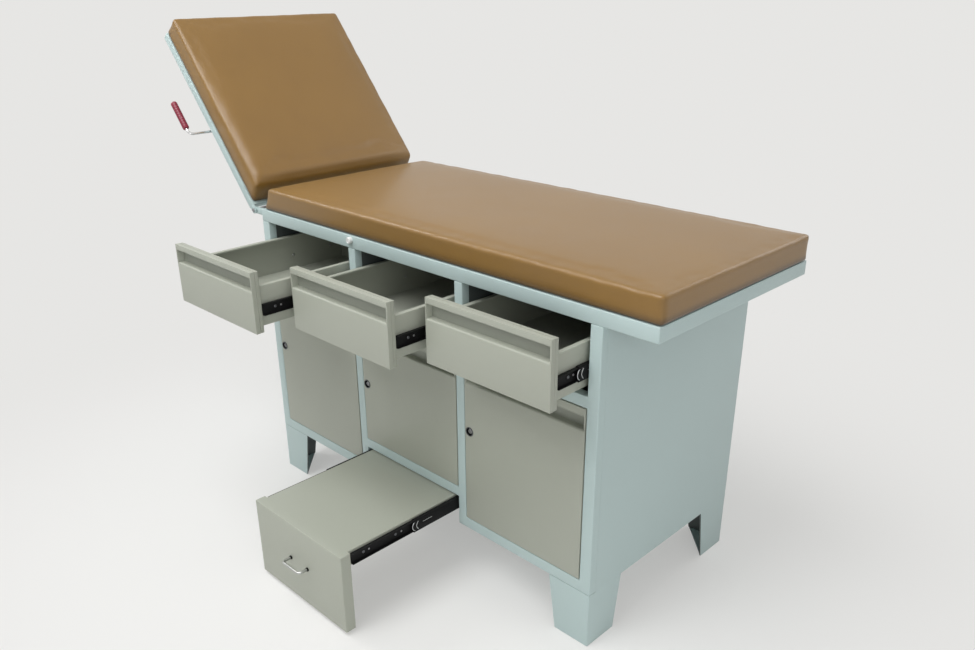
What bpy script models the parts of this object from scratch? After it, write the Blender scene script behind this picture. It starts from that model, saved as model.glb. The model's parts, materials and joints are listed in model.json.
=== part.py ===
"""Examination couch: a steel cabinet on four corner legs with three drawers, three doors and a
pull-out footstep, under a fixed seat cushion and a backrest that lifts on a gas spring.

Metres, +Z up. The front faces -Y and the head end lies toward -X. Pieces are drawn from the
front left corner of the cabinet at floor level; the datum lies on the front left leg's sole.
"""
import bpy
import bmesh
from math import atan2, cos, pi, radians, sin, sqrt
from mathutils import Matrix

# Sheet metal and fits
SHEET = 0.002
SEAM = 0.0003              # between two pieces that touch
PIN_PLAY = 0.0003          # round a pin or shaft in its hole
REVEAL = 0.0025            # round an inset drawer front or door
OVERCUT = 0.002            # how far a cutter runs past the face it opens

# Cabinet
CABINET_LENGTH = 1.120
DEPTH = 0.540
LEG_HEIGHT = 0.134
CARCASS_HEIGHT = 0.602
FRAME_DEPTH = 0.020
END_POST = 0.028
INNER_POST = 0.024
BOTTOM_RAIL = 0.0265
MID_RAIL = 0.025
DRAWER_OPENING = 0.149
STEP_OPENING = 0.074       # from the cabinet's underside to the rail over the step
STEP_RAIL = 0.025

# Legs
LEG_HEAD = 0.110
LEG_FOOT = 0.090
LEG_SHEET = 0.003
DATUM_INSET = 0.025        # datum on the sole, in from both outer faces

# Fixed top and backrest
TOP_LENGTH = 1.240
TOP_BAND = 0.031
TOP_LIP = 0.020
SEAT_START = 0.006
CUSHION_EDGE = 0.056       # height at the edge
CUSHION_CROWN = 0.006      # rise from the edge to the middle
CUSHION_OVERLAP = 0.003    # how far it stands past the sheet at the free end
CUSHION_ROUND = 0.010
CUSHION_CORNER = 0.010
CUSHION_LEAN = 0.024       # how far the end beside the hinge leans back from its foot
CUSHION_DRAW_IN = 0.003
HINGE_OUT = 0.040          # hinge axis ahead of the cabinet's head end
HINGE_DROP = 0.010         # hinge axis below the top sheet
HINGE_PIN = 0.005
HINGE_EAR = 0.005
HINGE_SIDE_PLAY = 0.0005
HINGE_STAND = 0.002        # rod end past the frame's side
BACK_LENGTH = 0.552
BACK_BAND = 0.022
BACK_GAP = 0.012
BACK_LUG = 0.060
BACK_CUSHION_GAP = 0.022
BACK_ANGLE = radians(50)

# Release lever
LEVER_BACK = 0.257         # shaft from the hinge axis, along the frame
LEVER_DROP = 0.019
LEVER_ROD = 0.0035
LEVER_OUT = 0.060
LEVER_BEND = 0.012
LEVER_ARM = 0.092
LEVER_TAB = 0.004
LEVER_TAB_HALF = 0.014
LEVER_TAB_DROP = 0.010
LEVER_TAB_IN = 0.030       # outer tab, in from the frame's side
GRIP_RADIUS = 0.0085
GRIP_START = 0.017
GRIP_LENGTH = 0.083

# Gas spring
GAS_SWING = 0.225          # both of its pins, from the hinge axis
GAS_FOOT_IN = 0.018        # lower pin, toward the cabinet from the hinge axis
GAS_HEAD_DROP = 0.028
GAS_PIN = 0.004
GAS_EYE = 0.008
GAS_TUBE = 0.011
GAS_ROD = 0.005
GAS_TUBE_LENGTH = 0.240
GAS_ROD_LENGTH = 0.250
GAS_FOOT_WIDE = 0.026
GAS_HEAD_WIDE = 0.020
GAS_LUG = 0.004
GAS_LUG_HALF = 0.012

# Drawers
DRAWER_TRAVEL = (0.264, 0.181, 0.106)
DRAWER_BOX_LENGTH = 0.460
DRAWER_BOX_HEIGHT = 0.094
DRAWER_BOX_LIFT = 0.014    # box bottom above the rail under it
DRAWER_BOX_LIP = 0.008
DRAWER_SLIDE_LIFT = 0.053  # slide centre above the rail under it
DRAWER_FRONT_LIP = 0.013
DRAWER_RECESS = 0.032
RECESS_DEPTH = 0.014
RECESS_END = 0.003
LOCK_BUTTON = 0.008
LOCK_BUTTON_STAND = 0.009
LOCK_BUTTON_LENGTH = 0.022
LOCK_BUTTON_DROP = 0.011

# Slides
SLIDE_SPACE = 0.013        # between a cabinet wall and the box that runs beside it
SLIDE_HEIGHT = 0.035
SLIDE_SHEET = 0.0015
SLIDE_PLAY = 0.0004
SLIDE_SETBACK = 0.004
DRAWER_SLIDE = 0.450
STEP_SLIDE = 0.400

# Doors
DOOR_LIP = 0.017
DOOR_RECESS = 0.030
DOOR_PIN = 0.003
DOOR_PIN_LENGTH = 0.008
DOOR_PIN_IN = 0.010        # from the hinged edge
DOOR_PIN_BACK = 0.006      # from the front face
LOCK_HEIGHT = 0.393
LOCK_IN = 0.014            # from the free edge
LOCK_BARREL = 0.009
LOCK_RIM = 0.011
LOCK_STAND = 0.003
CAM_LENGTH = 0.026
CAM_HALF = 0.006
CAM_SHEET = 0.002
CAM_BACK = 0.0022          # cam behind the door's rear edge
STRIKE_DEPTH = 0.008

# Footstep
STEP_TRAVEL = 0.338
STEP_FRONT_DEPTH = 0.025
STEP_FRONT_GAP = 0.006
STEP_FRONT_LOW = 0.008
STEP_FRONT_HIGH = 0.205
STEP_TREAD_HEIGHT = 0.0345
STEP_TREAD_LENGTH = 0.373
STEP_SLIDE_CENTRE = 0.1855
STEP_SLIDE_START = 0.030
HANDLE_HALF = 0.032
HANDLE_STAND = 0.024
HANDLE_ROD = 0.0032
HANDLE_BEND = 0.009
HANDLE_HEIGHT = 0.110

# Heights and lengths that follow from the sizes above
base = LEG_HEIGHT
carcass_top = base + CARCASS_HEIGHT
top_sheet = carcass_top + TOP_BAND
drawer_sill = carcass_top - DRAWER_OPENING
door_head = drawer_sill - MID_RAIL
door_sill = base + BOTTOM_RAIL
step_lintel = base + STEP_OPENING
middle_sill = step_lintel + STEP_RAIL
bay = (CABINET_LENGTH - 2 * END_POST - 2 * INNER_POST) / 3
bay_start = [END_POST + i * (bay + INNER_POST) for i in range(3)]
bay_name = ("left", "middle", "right")
panel_front = FRAME_DEPTH + SEAM
inner_back = DEPTH - SHEET - SEAM
hinge_z = top_sheet - HINGE_DROP
hinge_eye = HINGE_DROP - SHEET / 2
mid_depth = DEPTH / 2
gas_foot_z = -sqrt(GAS_SWING ** 2 - GAS_FOOT_IN ** 2)
gas_head_x = -sqrt(GAS_SWING ** 2 - GAS_HEAD_DROP ** 2)
step_web = SEAM + SHEET


def mesh_object(bm):
    bmesh.ops.recalc_face_normals(bm, faces=bm.faces)
    mesh = bpy.data.meshes.new("shape")
    bm.to_mesh(mesh)
    bm.free()
    obj = bpy.data.objects.new("shape", mesh)
    bpy.context.scene.collection.objects.link(obj)
    return obj


def box(low, high):
    bm = bmesh.new()
    bmesh.ops.create_cube(bm, size=1.0)
    bmesh.ops.scale(bm, vec=[h - l for l, h in zip(low, high)], verts=bm.verts)
    bmesh.ops.translate(bm, vec=[(l + h) / 2 for l, h in zip(low, high)], verts=bm.verts)
    return mesh_object(bm)


def prism(outline, axis, low, high):
    """Straight extrusion of an outline; the outline's pairs run in the order of the other axes."""
    order = {"X": (2, 0, 1), "Y": (0, 2, 1), "Z": (0, 1, 2)}[axis]
    bm = bmesh.new()
    ends = []
    for level in (low, high):
        ring = []
        for a, b in outline:
            values = (a, b, level)
            ring.append(bm.verts.new([values[k] for k in order]))
        ends.append(ring)
    bm.faces.new(ends[0])
    bm.faces.new(ends[1])
    count = len(outline)
    for i in range(count):
        j = (i + 1) % count
        bm.faces.new((ends[0][i], ends[0][j], ends[1][j], ends[1][i]))
    return mesh_object(bm)


def turned(profile, axis, centre, sides=32):
    """Body of revolution; the profile runs from axis to axis as (radius, place along the axis)."""
    turn = {
        "X": Matrix.Rotation(pi / 2, 4, "Y"),
        "Y": Matrix.Rotation(-pi / 2, 4, "X"),
        "Z": Matrix.Identity(4),
    }[axis]
    bm = bmesh.new()
    rings = []
    for radius, place in profile:
        if radius == 0.0:
            rings.append([bm.verts.new((0.0, 0.0, place))])
            continue
        ring = []
        for i in range(sides):
            angle = 2 * pi * i / sides
            ring.append(bm.verts.new((radius * cos(angle), radius * sin(angle), place)))
        rings.append(ring)
    for low, high in zip(rings, rings[1:]):
        for i in range(sides):
            j = (i + 1) % sides
            corners = [low[i % len(low)], low[j % len(low)], high[j % len(high)], high[i % len(high)]]
            bm.faces.new(list(dict.fromkeys(corners)))
    bmesh.ops.transform(bm, matrix=Matrix.Translation(centre) @ turn, verts=bm.verts)
    return mesh_object(bm)


def rod(axis, centre, low, high, radius, sides=32):
    return turned([(0.0, low), (radius, low), (radius, high), (0.0, high)], axis, centre, sides)


def bent_rod(path, radius):
    """Round bar along a path, closed at both ends."""
    curve = bpy.data.curves.new("path", "CURVE")
    curve.dimensions = "3D"
    curve.bevel_depth = radius
    curve.bevel_resolution = 3
    curve.use_fill_caps = True
    spline = curve.splines.new("POLY")
    spline.points.add(len(path) - 1)
    for point, place in zip(spline.points, path):
        point.co = (*place, 1.0)
    line = bpy.data.objects.new("path", curve)
    bpy.context.scene.collection.objects.link(line)
    bpy.context.view_layer.update()
    depsgraph = bpy.context.evaluated_depsgraph_get()
    mesh = bpy.data.meshes.new_from_object(line.evaluated_get(depsgraph))
    bm = bmesh.new()
    bm.from_mesh(mesh)
    bmesh.ops.remove_doubles(bm, verts=bm.verts, dist=0.000005)
    bpy.data.objects.remove(line)
    bpy.data.curves.remove(curve)
    bpy.data.meshes.remove(mesh)
    return mesh_object(bm)


def arc(centre, radius, start, end, steps):
    points = []
    for i in range(steps + 1):
        angle = radians(start + (end - start) * i / steps)
        points.append((centre[0] + radius * cos(angle), centre[1] + radius * sin(angle)))
    return points


def combine(target, tools, operation):
    for tool in tools:
        step = target.modifiers.new("combine", "BOOLEAN")
        step.operation = operation
        step.solver = "EXACT"
        step.object = tool
    bpy.context.view_layer.update()
    depsgraph = bpy.context.evaluated_depsgraph_get()
    result = bpy.data.meshes.new_from_object(target.evaluated_get(depsgraph))
    target.modifiers.clear()
    before = target.data
    target.data = result
    bpy.data.meshes.remove(before)
    for tool in tools:
        bpy.data.objects.remove(tool)
    return target


def join(target, *tools):
    return combine(target, tools, "UNION")


def cut(target, *tools):
    return combine(target, tools, "DIFFERENCE")


def pivot(name, parent, place, turn=0.0):
    """Empty on a joint's axis; the turn is about Y."""
    empty = bpy.data.objects.new(name, None)
    empty.empty_display_size = 0.03
    bpy.context.scene.collection.objects.link(empty)
    empty.parent = parent
    empty.location = place
    empty.rotation_euler = (0.0, turn, 0.0)
    return empty


def place(obj, name, parent, finish, smooth=False):
    """Name a finished piece, give it its own finish and hang it on its parent."""
    colour, roughness, metallic = finish
    material = bpy.data.materials.new(name + "_finish")
    material.use_nodes = True
    shader = material.node_tree.nodes["Principled BSDF"]
    shader.inputs["Base Color"].default_value = (*colour, 1.0)
    shader.inputs["Roughness"].default_value = roughness
    shader.inputs["Metallic"].default_value = metallic
    obj.name = name
    obj.data.name = name
    obj.data.materials.clear()
    obj.data.materials.append(material)
    obj.parent = parent
    if smooth:
        obj.data.shade_smooth()
        obj.data.set_sharp_from_angle(angle=radians(40))
    return obj


CARCASS_PAINT = ((0.45, 0.57, 0.57), 0.40, 0.0)
FRONT_PAINT = ((0.38, 0.39, 0.35), 0.42, 0.0)
UPHOLSTERY = ((0.29, 0.17, 0.06), 0.50, 0.0)
SLIDE_FINISH = ((0.03, 0.03, 0.03), 0.40, 0.0)
BRIGHT_METAL = ((0.75, 0.75, 0.76), 0.15, 1.0)
STEEL = ((0.55, 0.56, 0.57), 0.30, 1.0)
GRIP_PLASTIC = ((0.22, 0.02, 0.04), 0.35, 0.0)
WHITE_PLASTIC = ((0.80, 0.81, 0.80), 0.30, 0.0)

for old in list(bpy.data.objects):
    bpy.data.objects.remove(old)

datum = pivot("datum", None, (-DATUM_INSET, -DATUM_INSET, 0.0))

# Front face frame: folded posts and rails round the openings, hollow from behind.
posts = [(0.0, END_POST)]
posts += [(bay_start[0] + bay, INNER_POST), (bay_start[1] + bay, INNER_POST)]
posts += [(CABINET_LENGTH - END_POST, END_POST)]
door_low = [door_sill, middle_sill, door_sill]
rail_low = [base, step_lintel, base]
frame_top = carcass_top - SEAM
frame_back = FRAME_DEPTH + OVERCUT
frame = box((0.0, 0.0, base), (CABINET_LENGTH, FRAME_DEPTH, frame_top))
openings = []
for i, x in enumerate(bay_start):
    openings.append(box((x, -OVERCUT, drawer_sill), (x + bay, frame_back, carcass_top + OVERCUT)))
    openings.append(box((x, -OVERCUT, door_low[i]), (x + bay, frame_back, door_head)))
middle = bay_start[1]
openings.append(box((middle, -OVERCUT, base - OVERCUT), (middle + bay, frame_back, step_lintel)))
cut(frame, *openings)
hollows = []
for x, wide in posts:
    hollows.append(box((x + SHEET, SHEET, base + SHEET), (x + wide - SHEET, frame_back, frame_top - SHEET)))
for i, x in enumerate(bay_start):
    hollows.append(box((x, SHEET, door_head + SHEET), (x + bay, frame_back, drawer_sill - SHEET)))
    hollows.append(box((x, SHEET, rail_low[i] + SHEET), (x + bay, frame_back, door_low[i] - SHEET)))
cut(frame, *hollows)
pin_holes = []
for i, x in enumerate(bay_start):
    pin_x = x + bay - REVEAL - DOOR_PIN_IN
    for z in (door_head, door_low[i] - SHEET):
        pin_place = (pin_x, DOOR_PIN_BACK, z)
        pin_holes.append(rod("Z", pin_place, -SHEET / 2, SHEET * 1.5, DOOR_PIN + PIN_PLAY))
cut(frame, *pin_holes)
place(frame, "front_frame", datum, CARCASS_PAINT)

# Strike slot: room behind a post's edge for the door lock's cam.
strike_reach = CAM_LENGTH - LOCK_IN - REVEAL + STRIKE_DEPTH / 2


def strike_slot(edge):
    low = LOCK_HEIGHT - CAM_LENGTH - STRIKE_DEPTH / 2
    high = LOCK_HEIGHT + CAM_HALF + STRIKE_DEPTH / 2
    return box((edge - strike_reach, FRAME_DEPTH - OVERCUT, low),
               (edge + OVERCUT, FRAME_DEPTH + STRIKE_DEPTH, high))


def hollow_wall(x0, x1, y1, z0):
    """Double-skinned wall, folded from sheet and open above and below."""
    wall = box((x0, panel_front, z0), (x1, y1, frame_top))
    inside = box((x0 + SHEET, panel_front + SHEET, z0 - OVERCUT),
                 (x1 - SHEET, y1 - SHEET, frame_top + OVERCUT))
    return cut(wall, inside)


# Side panels. The left one carries the gas spring's lower pin on a welded lug.
panel = hollow_wall(0.0, END_POST, DEPTH, base)
cut(panel, strike_slot(END_POST))
foot_x = -HINGE_OUT + GAS_FOOT_IN
foot_z = hinge_z + gas_foot_z
foot_side = mid_depth + GAS_FOOT_WIDE / 2 + SEAM
foot_lug = prism([(SHEET / 2, foot_z - GAS_LUG_HALF * 1.5), (SHEET / 2, foot_z + GAS_LUG_HALF * 1.5)]
                 + arc((foot_x, foot_z), GAS_LUG_HALF, 90, 270, 12),
                 "Y", foot_side, foot_side + GAS_LUG)
foot_pin = rod("Y", (foot_x, 0.0, foot_z), mid_depth - GAS_FOOT_WIDE / 2, foot_side + GAS_LUG / 2, GAS_PIN)
join(panel, foot_lug, foot_pin)
place(panel, "left_side_panel", datum, CARCASS_PAINT)
panel = hollow_wall(CABINET_LENGTH - END_POST, CABINET_LENGTH, DEPTH, base)
place(panel, "right_side_panel", datum, CARCASS_PAINT)

# Back sheet between the side panels.
back_end = CABINET_LENGTH - END_POST - SEAM
sheet = box((END_POST + SEAM, DEPTH - SHEET, base), (back_end, DEPTH, frame_top))
place(sheet, "back_panel", datum, CARCASS_PAINT)

# Partitions between the bays.
for i, name in enumerate(("left_partition", "right_partition")):
    edge = bay_start[i + 1]
    wall = hollow_wall(edge - INNER_POST + SEAM, edge - SEAM, inner_back, base + SHEET + SEAM)
    cut(wall, strike_slot(edge))
    place(wall, name, datum, CARCASS_PAINT)

# Floor sheet, folded up over the footstep's bay to make the middle cupboard's floor.
left_web = middle + SEAM
right_web = middle + bay - SEAM
floor_end = back_end
floor_high = middle_sill - SHEET
floor = prism([(END_POST + SEAM, base), (left_web + SHEET, base), (left_web + SHEET, floor_high - SHEET),
               (right_web - SHEET, floor_high - SHEET), (right_web - SHEET, base), (floor_end, base),
               (floor_end, base + SHEET), (right_web, base + SHEET), (right_web, floor_high),
               (left_web, floor_high), (left_web, base + SHEET), (END_POST + SEAM, base + SHEET)],
              "Y", panel_front, inner_back)
place(floor, "floor_pan", datum, CARCASS_PAINT)

# Corner legs: two tapered plates with a three-cornered sole and head.
leg_places = (("front_left_leg", 0.0, 0.0, 1, 1), ("front_right_leg", CABINET_LENGTH, 0.0, -1, 1),
              ("rear_left_leg", 0.0, DEPTH, 1, -1), ("rear_right_leg", CABINET_LENGTH, DEPTH, -1, -1))
for name, x, y, sx, sy in leg_places:
    high = LEG_HEIGHT - SEAM
    taper = ((0.0, 0.0), (LEG_FOOT, 0.0), (LEG_HEAD, high), (0.0, high))
    leg = prism([(x + sx * a, b) for a, b in taper], "Y", y, y + sy * LEG_SHEET)
    side = prism([(y + sy * a, b) for a, b in taper], "X", x, x + sx * LEG_SHEET)
    sole = prism([(x, y), (x + sx * LEG_FOOT, y), (x, y + sy * LEG_FOOT)], "Z", 0.0, LEG_SHEET)
    head = prism([(x, y), (x + sx * LEG_HEAD, y), (x, y + sy * LEG_HEAD)], "Z", high - LEG_SHEET, high)
    join(leg, side, sole, head)
    place(leg, name, datum, CARCASS_PAINT)

# Fixed top: a pan turned downward with an inward lip and two hinge ears at the head end.
top = box((0.0, 0.0, carcass_top), (TOP_LENGTH, DEPTH, top_sheet))
top_under = top_sheet - SHEET
cut(top, box((SHEET, SHEET, carcass_top + SHEET), (TOP_LENGTH - SHEET, DEPTH - SHEET, top_under)),
    box((TOP_LIP, TOP_LIP, carcass_top - OVERCUT), (TOP_LENGTH - TOP_LIP, DEPTH - TOP_LIP, top_under)))
ear_outline = [(SHEET / 2, hinge_z + hinge_eye)]
ear_outline += arc((-HINGE_OUT, hinge_z), hinge_eye, 90, 270, 12)
ear_outline += [(SHEET / 2, hinge_z - hinge_eye)]
ear_in = HINGE_EAR + HINGE_SIDE_PLAY
join(top, prism(ear_outline, "Y", ear_in, ear_in + HINGE_EAR),
     prism(ear_outline, "Y", DEPTH - ear_in - HINGE_EAR, DEPTH - ear_in))
button_x = bay_start[1] - INNER_POST / 2
button_z = top_sheet - LOCK_BUTTON_DROP
cut(top, rod("Y", (-HINGE_OUT, 0.0, hinge_z), -OVERCUT, DEPTH + OVERCUT, HINGE_PIN + PIN_PLAY),
    rod("Y", (button_x, 0.0, button_z), -OVERCUT, SHEET + OVERCUT, LOCK_BUTTON + PIN_PLAY))
place(top, "top_frame", datum, CARCASS_PAINT)

# Hinge rod through the ears and the backrest's lugs.
pin = rod("Y", (-HINGE_OUT, 0.0, hinge_z), -HINGE_STAND, DEPTH + HINGE_STAND, HINGE_PIN)
place(pin, "hinge_rod", datum, STEEL, smooth=True)


def cushion(x0, x1, z0, lean_low=0.0, lean_high=0.0):
    """Stuffed pad: flat underneath, sides drawn in, edges rounded, top crowned toward the middle.
    Its end at x0 or at x1 can lean inward from the foot to the top edge."""
    half_x = (x1 - x0) / 2
    half_y = DEPTH / 2
    high = CUSHION_EDGE
    soft = CUSHION_ROUND
    levels = [(0.0, soft / 3), (soft / 3, soft / 12), (high / 2, 0.0), (high - soft, soft / 24),
              (high - soft * 0.55, soft * 0.12), (high - soft * 0.18, soft * 0.5), (high, soft * 1.3)]
    crown_steps = (0.86, 0.64, 0.40, 0.18)
    bm = bmesh.new()

    def outline(inset):
        a = half_x - inset
        b = half_y - inset
        r = CUSHION_CORNER
        points = []
        corners = ((a - r, b - r, 0), (r - a, b - r, 90), (r - a, r - b, 180), (a - r, r - b, 270))
        for k, (cx, cy, start) in enumerate(corners):
            points += arc((cx, cy), r, start, start + 90, 4)
            nx, ny, _ = corners[(k + 1) % 4]
            end = points[-1]
            following = arc((nx, ny), r, start + 90, start + 90, 1)[0]
            steps = 10 if k % 2 == 0 else 6
            for s in range(1, steps):
                t = s / steps
                dip = CUSHION_DRAW_IN * (1.0 - (2.0 * t - 1.0) ** 2)
                px = end[0] + (following[0] - end[0]) * t
                py = end[1] + (following[1] - end[1]) * t
                if k % 2 == 0:
                    py -= dip * (1 if py > 0 else -1)
                else:
                    px -= dip * (1 if px > 0 else -1)
                points.append((px, py))
        return points

    def spot(px, py, z):
        up = min(z / high, 1.0)
        along = (px + half_x) / (2 * half_x)
        lean = up * (lean_low * (1.0 - along) - lean_high * along)
        return bm.verts.new((x0 + half_x + px + lean, half_y + py, z0 + z))

    rings = []
    for z, inset in levels:
        rings.append([spot(px, py, z) for px, py in outline(inset)])
    rim = outline(levels[-1][1])
    for share in crown_steps:
        z = high + CUSHION_CROWN * (1.0 - share * share)
        rings.append([spot(px * share, py * share, z) for px, py in rim])
    count = len(rim)
    bm.faces.new(rings[0])
    for low, up in zip(rings, rings[1:]):
        for i in range(count):
            j = (i + 1) % count
            bm.faces.new((low[i], low[j], up[j], up[i]))
    peak = spot(0.0, 0.0, high + CUSHION_CROWN)
    for i in range(count):
        bm.faces.new((rings[-1][i], rings[-1][(i + 1) % count], peak))
    return mesh_object(bm)


# Seat cushion on the fixed top.
pad = cushion(SEAT_START, TOP_LENGTH + CUSHION_OVERLAP, top_sheet + SEAM, lean_low=CUSHION_LEAN)
place(pad, "seat_cushion", datum, UPHOLSTERY, smooth=True)

# Backrest, drawn lying flat from its hinge axis: a shallow pan with side lugs, the lever's two
# bearing tabs and the lug for the gas spring's upper pin.
back = pivot("backrest_axis", datum, (-HINGE_OUT, 0.0, hinge_z), BACK_ANGLE)
back_low = HINGE_DROP - BACK_BAND
back_under = HINGE_DROP - SHEET
pan = box((-BACK_LENGTH, 0.0, back_low), (-BACK_GAP, DEPTH, HINGE_DROP))
cut(pan, box((-BACK_LENGTH + SHEET, SHEET, back_low + SHEET),
             (-BACK_GAP - SHEET, DEPTH - SHEET, back_under)),
    box((-BACK_LENGTH + TOP_LIP, TOP_LIP, back_low - OVERCUT),
        (-BACK_GAP - TOP_LIP, DEPTH - TOP_LIP, back_under)))
lug_outline = [(-BACK_LUG, -hinge_eye)] + arc((0.0, 0.0), hinge_eye, -90, 90, 12) + [(-BACK_LUG, hinge_eye)]
head_side = mid_depth + GAS_HEAD_WIDE / 2 + SEAM
head_lug = prism([(gas_head_x + GAS_LUG_HALF * 1.5, HINGE_DROP - SHEET / 2),
                  (gas_head_x - GAS_LUG_HALF * 1.5, HINGE_DROP - SHEET / 2)]
                 + arc((gas_head_x, -GAS_HEAD_DROP), GAS_LUG_HALF, 180, 360, 12),
                 "Y", head_side, head_side + GAS_LUG)
head_pin = rod("Y", (gas_head_x, 0.0, -GAS_HEAD_DROP),
               mid_depth - GAS_HEAD_WIDE / 2, head_side + GAS_LUG / 2, GAS_PIN)
tab_low = -LEVER_DROP - LEVER_TAB_DROP
inner_tab = mid_depth - GAS_TUBE - LEVER_TAB * 4
tabs = []
tab_high = HINGE_DROP - SHEET / 2
tab_wide = LEVER_TAB_HALF * 1.5
for y in (LEVER_TAB_IN, inner_tab):
    tabs.append(prism([(-LEVER_BACK - tab_wide, tab_high), (-LEVER_BACK - LEVER_TAB_HALF, tab_low),
                       (-LEVER_BACK + LEVER_TAB_HALF, tab_low), (-LEVER_BACK + tab_wide, tab_high)],
                      "Y", y, y + LEVER_TAB))
join(pan, prism(lug_outline, "Y", 0.0, HINGE_EAR), prism(lug_outline, "Y", DEPTH - HINGE_EAR, DEPTH),
     head_lug, head_pin, *tabs)
cut(pan, rod("Y", (0.0, 0.0, 0.0), -OVERCUT, DEPTH + OVERCUT, HINGE_PIN + PIN_PLAY),
    rod("Y", (-LEVER_BACK, 0.0, -LEVER_DROP), -OVERCUT, mid_depth, LEVER_ROD + PIN_PLAY))
place(pan, "backrest_frame", back, CARCASS_PAINT)
pad = cushion(-BACK_LENGTH - CUSHION_OVERLAP, -BACK_CUSHION_GAP, HINGE_DROP + SEAM,
              lean_high=CUSHION_LEAN)
place(pad, "backrest_cushion", back, UPHOLSTERY, smooth=True)

# Release lever: a bent rod in the two tabs with a short finger at its inner end, and its grip.
lever = pivot("lever_axis", back, (-LEVER_BACK, 0.0, -LEVER_DROP))
finger_y = inner_tab + LEVER_TAB + SEAM
shaft_end = finger_y + LEVER_TAB
bend = arc((-LEVER_BEND, -LEVER_OUT + LEVER_BEND), LEVER_BEND, 0, -90, 8)
path = [(0.0, shaft_end, 0.0)] + [(x, y, 0.0) for x, y in bend] + [(-LEVER_ARM, -LEVER_OUT, 0.0)]
shaft = bent_rod(path, LEVER_ROD)
finger = prism(arc((0.0, 0.0), LEVER_ROD * 2, 70, 290, 12) + [(LEVER_TAB_HALF * 1.5, -LEVER_ROD),
                                                            (LEVER_TAB_HALF * 1.5, LEVER_ROD)],
               "Y", finger_y, finger_y + LEVER_TAB - SEAM)
join(shaft, finger)
place(shaft, "release_lever", lever, BRIGHT_METAL, smooth=True)
bore = LEVER_ROD + PIN_PLAY
grip_end = -GRIP_START - GRIP_LENGTH
grip = turned([(0.0, grip_end), (GRIP_RADIUS * 0.7, grip_end), (GRIP_RADIUS, grip_end + GRIP_RADIUS * 0.3),
               (GRIP_RADIUS, -GRIP_START - GRIP_RADIUS * 0.2), (GRIP_RADIUS * 0.8, -GRIP_START),
               (bore, -GRIP_START), (bore, -LEVER_ARM - PIN_PLAY), (0.0, -LEVER_ARM - PIN_PLAY)],
              "X", (0.0, -LEVER_OUT, 0.0), 24)
place(grip, "lever_grip", lever, GRIP_PLASTIC, smooth=True)

# Gas spring under the backrest: the cylinder stands on the cabinet, the rod hangs on the backrest.
head_x = -HINGE_OUT + gas_head_x * cos(BACK_ANGLE) - GAS_HEAD_DROP * sin(BACK_ANGLE)
head_z = hinge_z - gas_head_x * sin(BACK_ANGLE) - GAS_HEAD_DROP * cos(BACK_ANGLE)
lean = atan2(head_x - foot_x, head_z - foot_z)
tube_axis = pivot("gas_spring_foot", datum, (foot_x, mid_depth, foot_z), lean)
rod_axis = pivot("gas_spring_head", back, (gas_head_x, mid_depth, -GAS_HEAD_DROP), lean - BACK_ANGLE)
tube_start = GAS_EYE / 2
tube = turned([(0.0, tube_start), (GAS_TUBE * 0.8, tube_start), (GAS_TUBE, GAS_EYE * 1.5),
               (GAS_TUBE, GAS_TUBE_LENGTH), (GAS_ROD + PIN_PLAY, GAS_TUBE_LENGTH),
               (GAS_ROD + PIN_PLAY, GAS_EYE * 3), (0.0, GAS_EYE * 3)], "Z", (0.0, 0.0, 0.0), 24)
join(tube, rod("Y", (0.0, 0.0, 0.0), -GAS_FOOT_WIDE / 2, GAS_FOOT_WIDE / 2, GAS_EYE, 24))
cut(tube, rod("Y", (0.0, 0.0, 0.0), -GAS_FOOT_WIDE, GAS_FOOT_WIDE, GAS_PIN + PIN_PLAY, 24))
place(tube, "gas_spring_cylinder", tube_axis, SLIDE_FINISH, smooth=True)
stem = rod("Z", (0.0, 0.0, 0.0), -GAS_ROD_LENGTH, -GAS_EYE * 0.7, GAS_ROD, 24)
join(stem, rod("Y", (0.0, 0.0, 0.0), -GAS_HEAD_WIDE / 2, GAS_HEAD_WIDE / 2, GAS_EYE, 24))
cut(stem, rod("Y", (0.0, 0.0, 0.0), -GAS_HEAD_WIDE, GAS_HEAD_WIDE, GAS_PIN + PIN_PLAY, 24))
place(stem, "gas_spring_rod", rod_axis, BRIGHT_METAL, smooth=True)


def slide_member(start, end, half, y0, y1, z, side, wall, faces_out):
    """Channel beside a wall; start and end are measured from the wall toward the moving box."""
    near, far = sorted((wall + side * start, wall + side * end))
    member = box((near, y0, z - half), (far, y1, z + half))
    if faces_out:
        hollow = sorted((wall + side * (start + SLIDE_SHEET), wall + side * (end + OVERCUT)))
    else:
        hollow = sorted((wall + side * (start - OVERCUT), wall + side * (end - SLIDE_SHEET)))
    inner = half - SLIDE_SHEET
    return cut(member, box((hollow[0], y0 - OVERCUT, z - inner), (hollow[1], y1 + OVERCUT, z + inner)))


def slide_set(name, moving, wall, side, z, y0, length, fixed_parent, middle_parent, moving_parent):
    """Three nested channels: on the cabinet, between, and on the moving box."""
    step = SLIDE_SHEET + SLIDE_PLAY
    half = SLIDE_HEIGHT / 2
    box_side = SLIDE_SPACE - SEAM
    middle_end = box_side - step
    outer = slide_member(SEAM, middle_end - 2 * SLIDE_PLAY, half, y0, y0 + length, z, side, wall, True)
    place(outer, name + "_cabinet_member", fixed_parent, SLIDE_FINISH)
    between = slide_member(SEAM + step, middle_end, half - step, y0 + SLIDE_SETBACK,
                           y0 + length - 4 * SLIDE_SETBACK, z, side, wall, True)
    place(between, name + "_intermediate_member", middle_parent, SLIDE_FINISH)
    inner = slide_member(SEAM + 2 * step, box_side, half - 2 * step, y0 + SLIDE_SETBACK / 2,
                         y0 + length - 2 * SLIDE_SETBACK, z, side, wall, False)
    place(inner, name + "_" + moving, moving_parent, SLIDE_FINISH)


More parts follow.
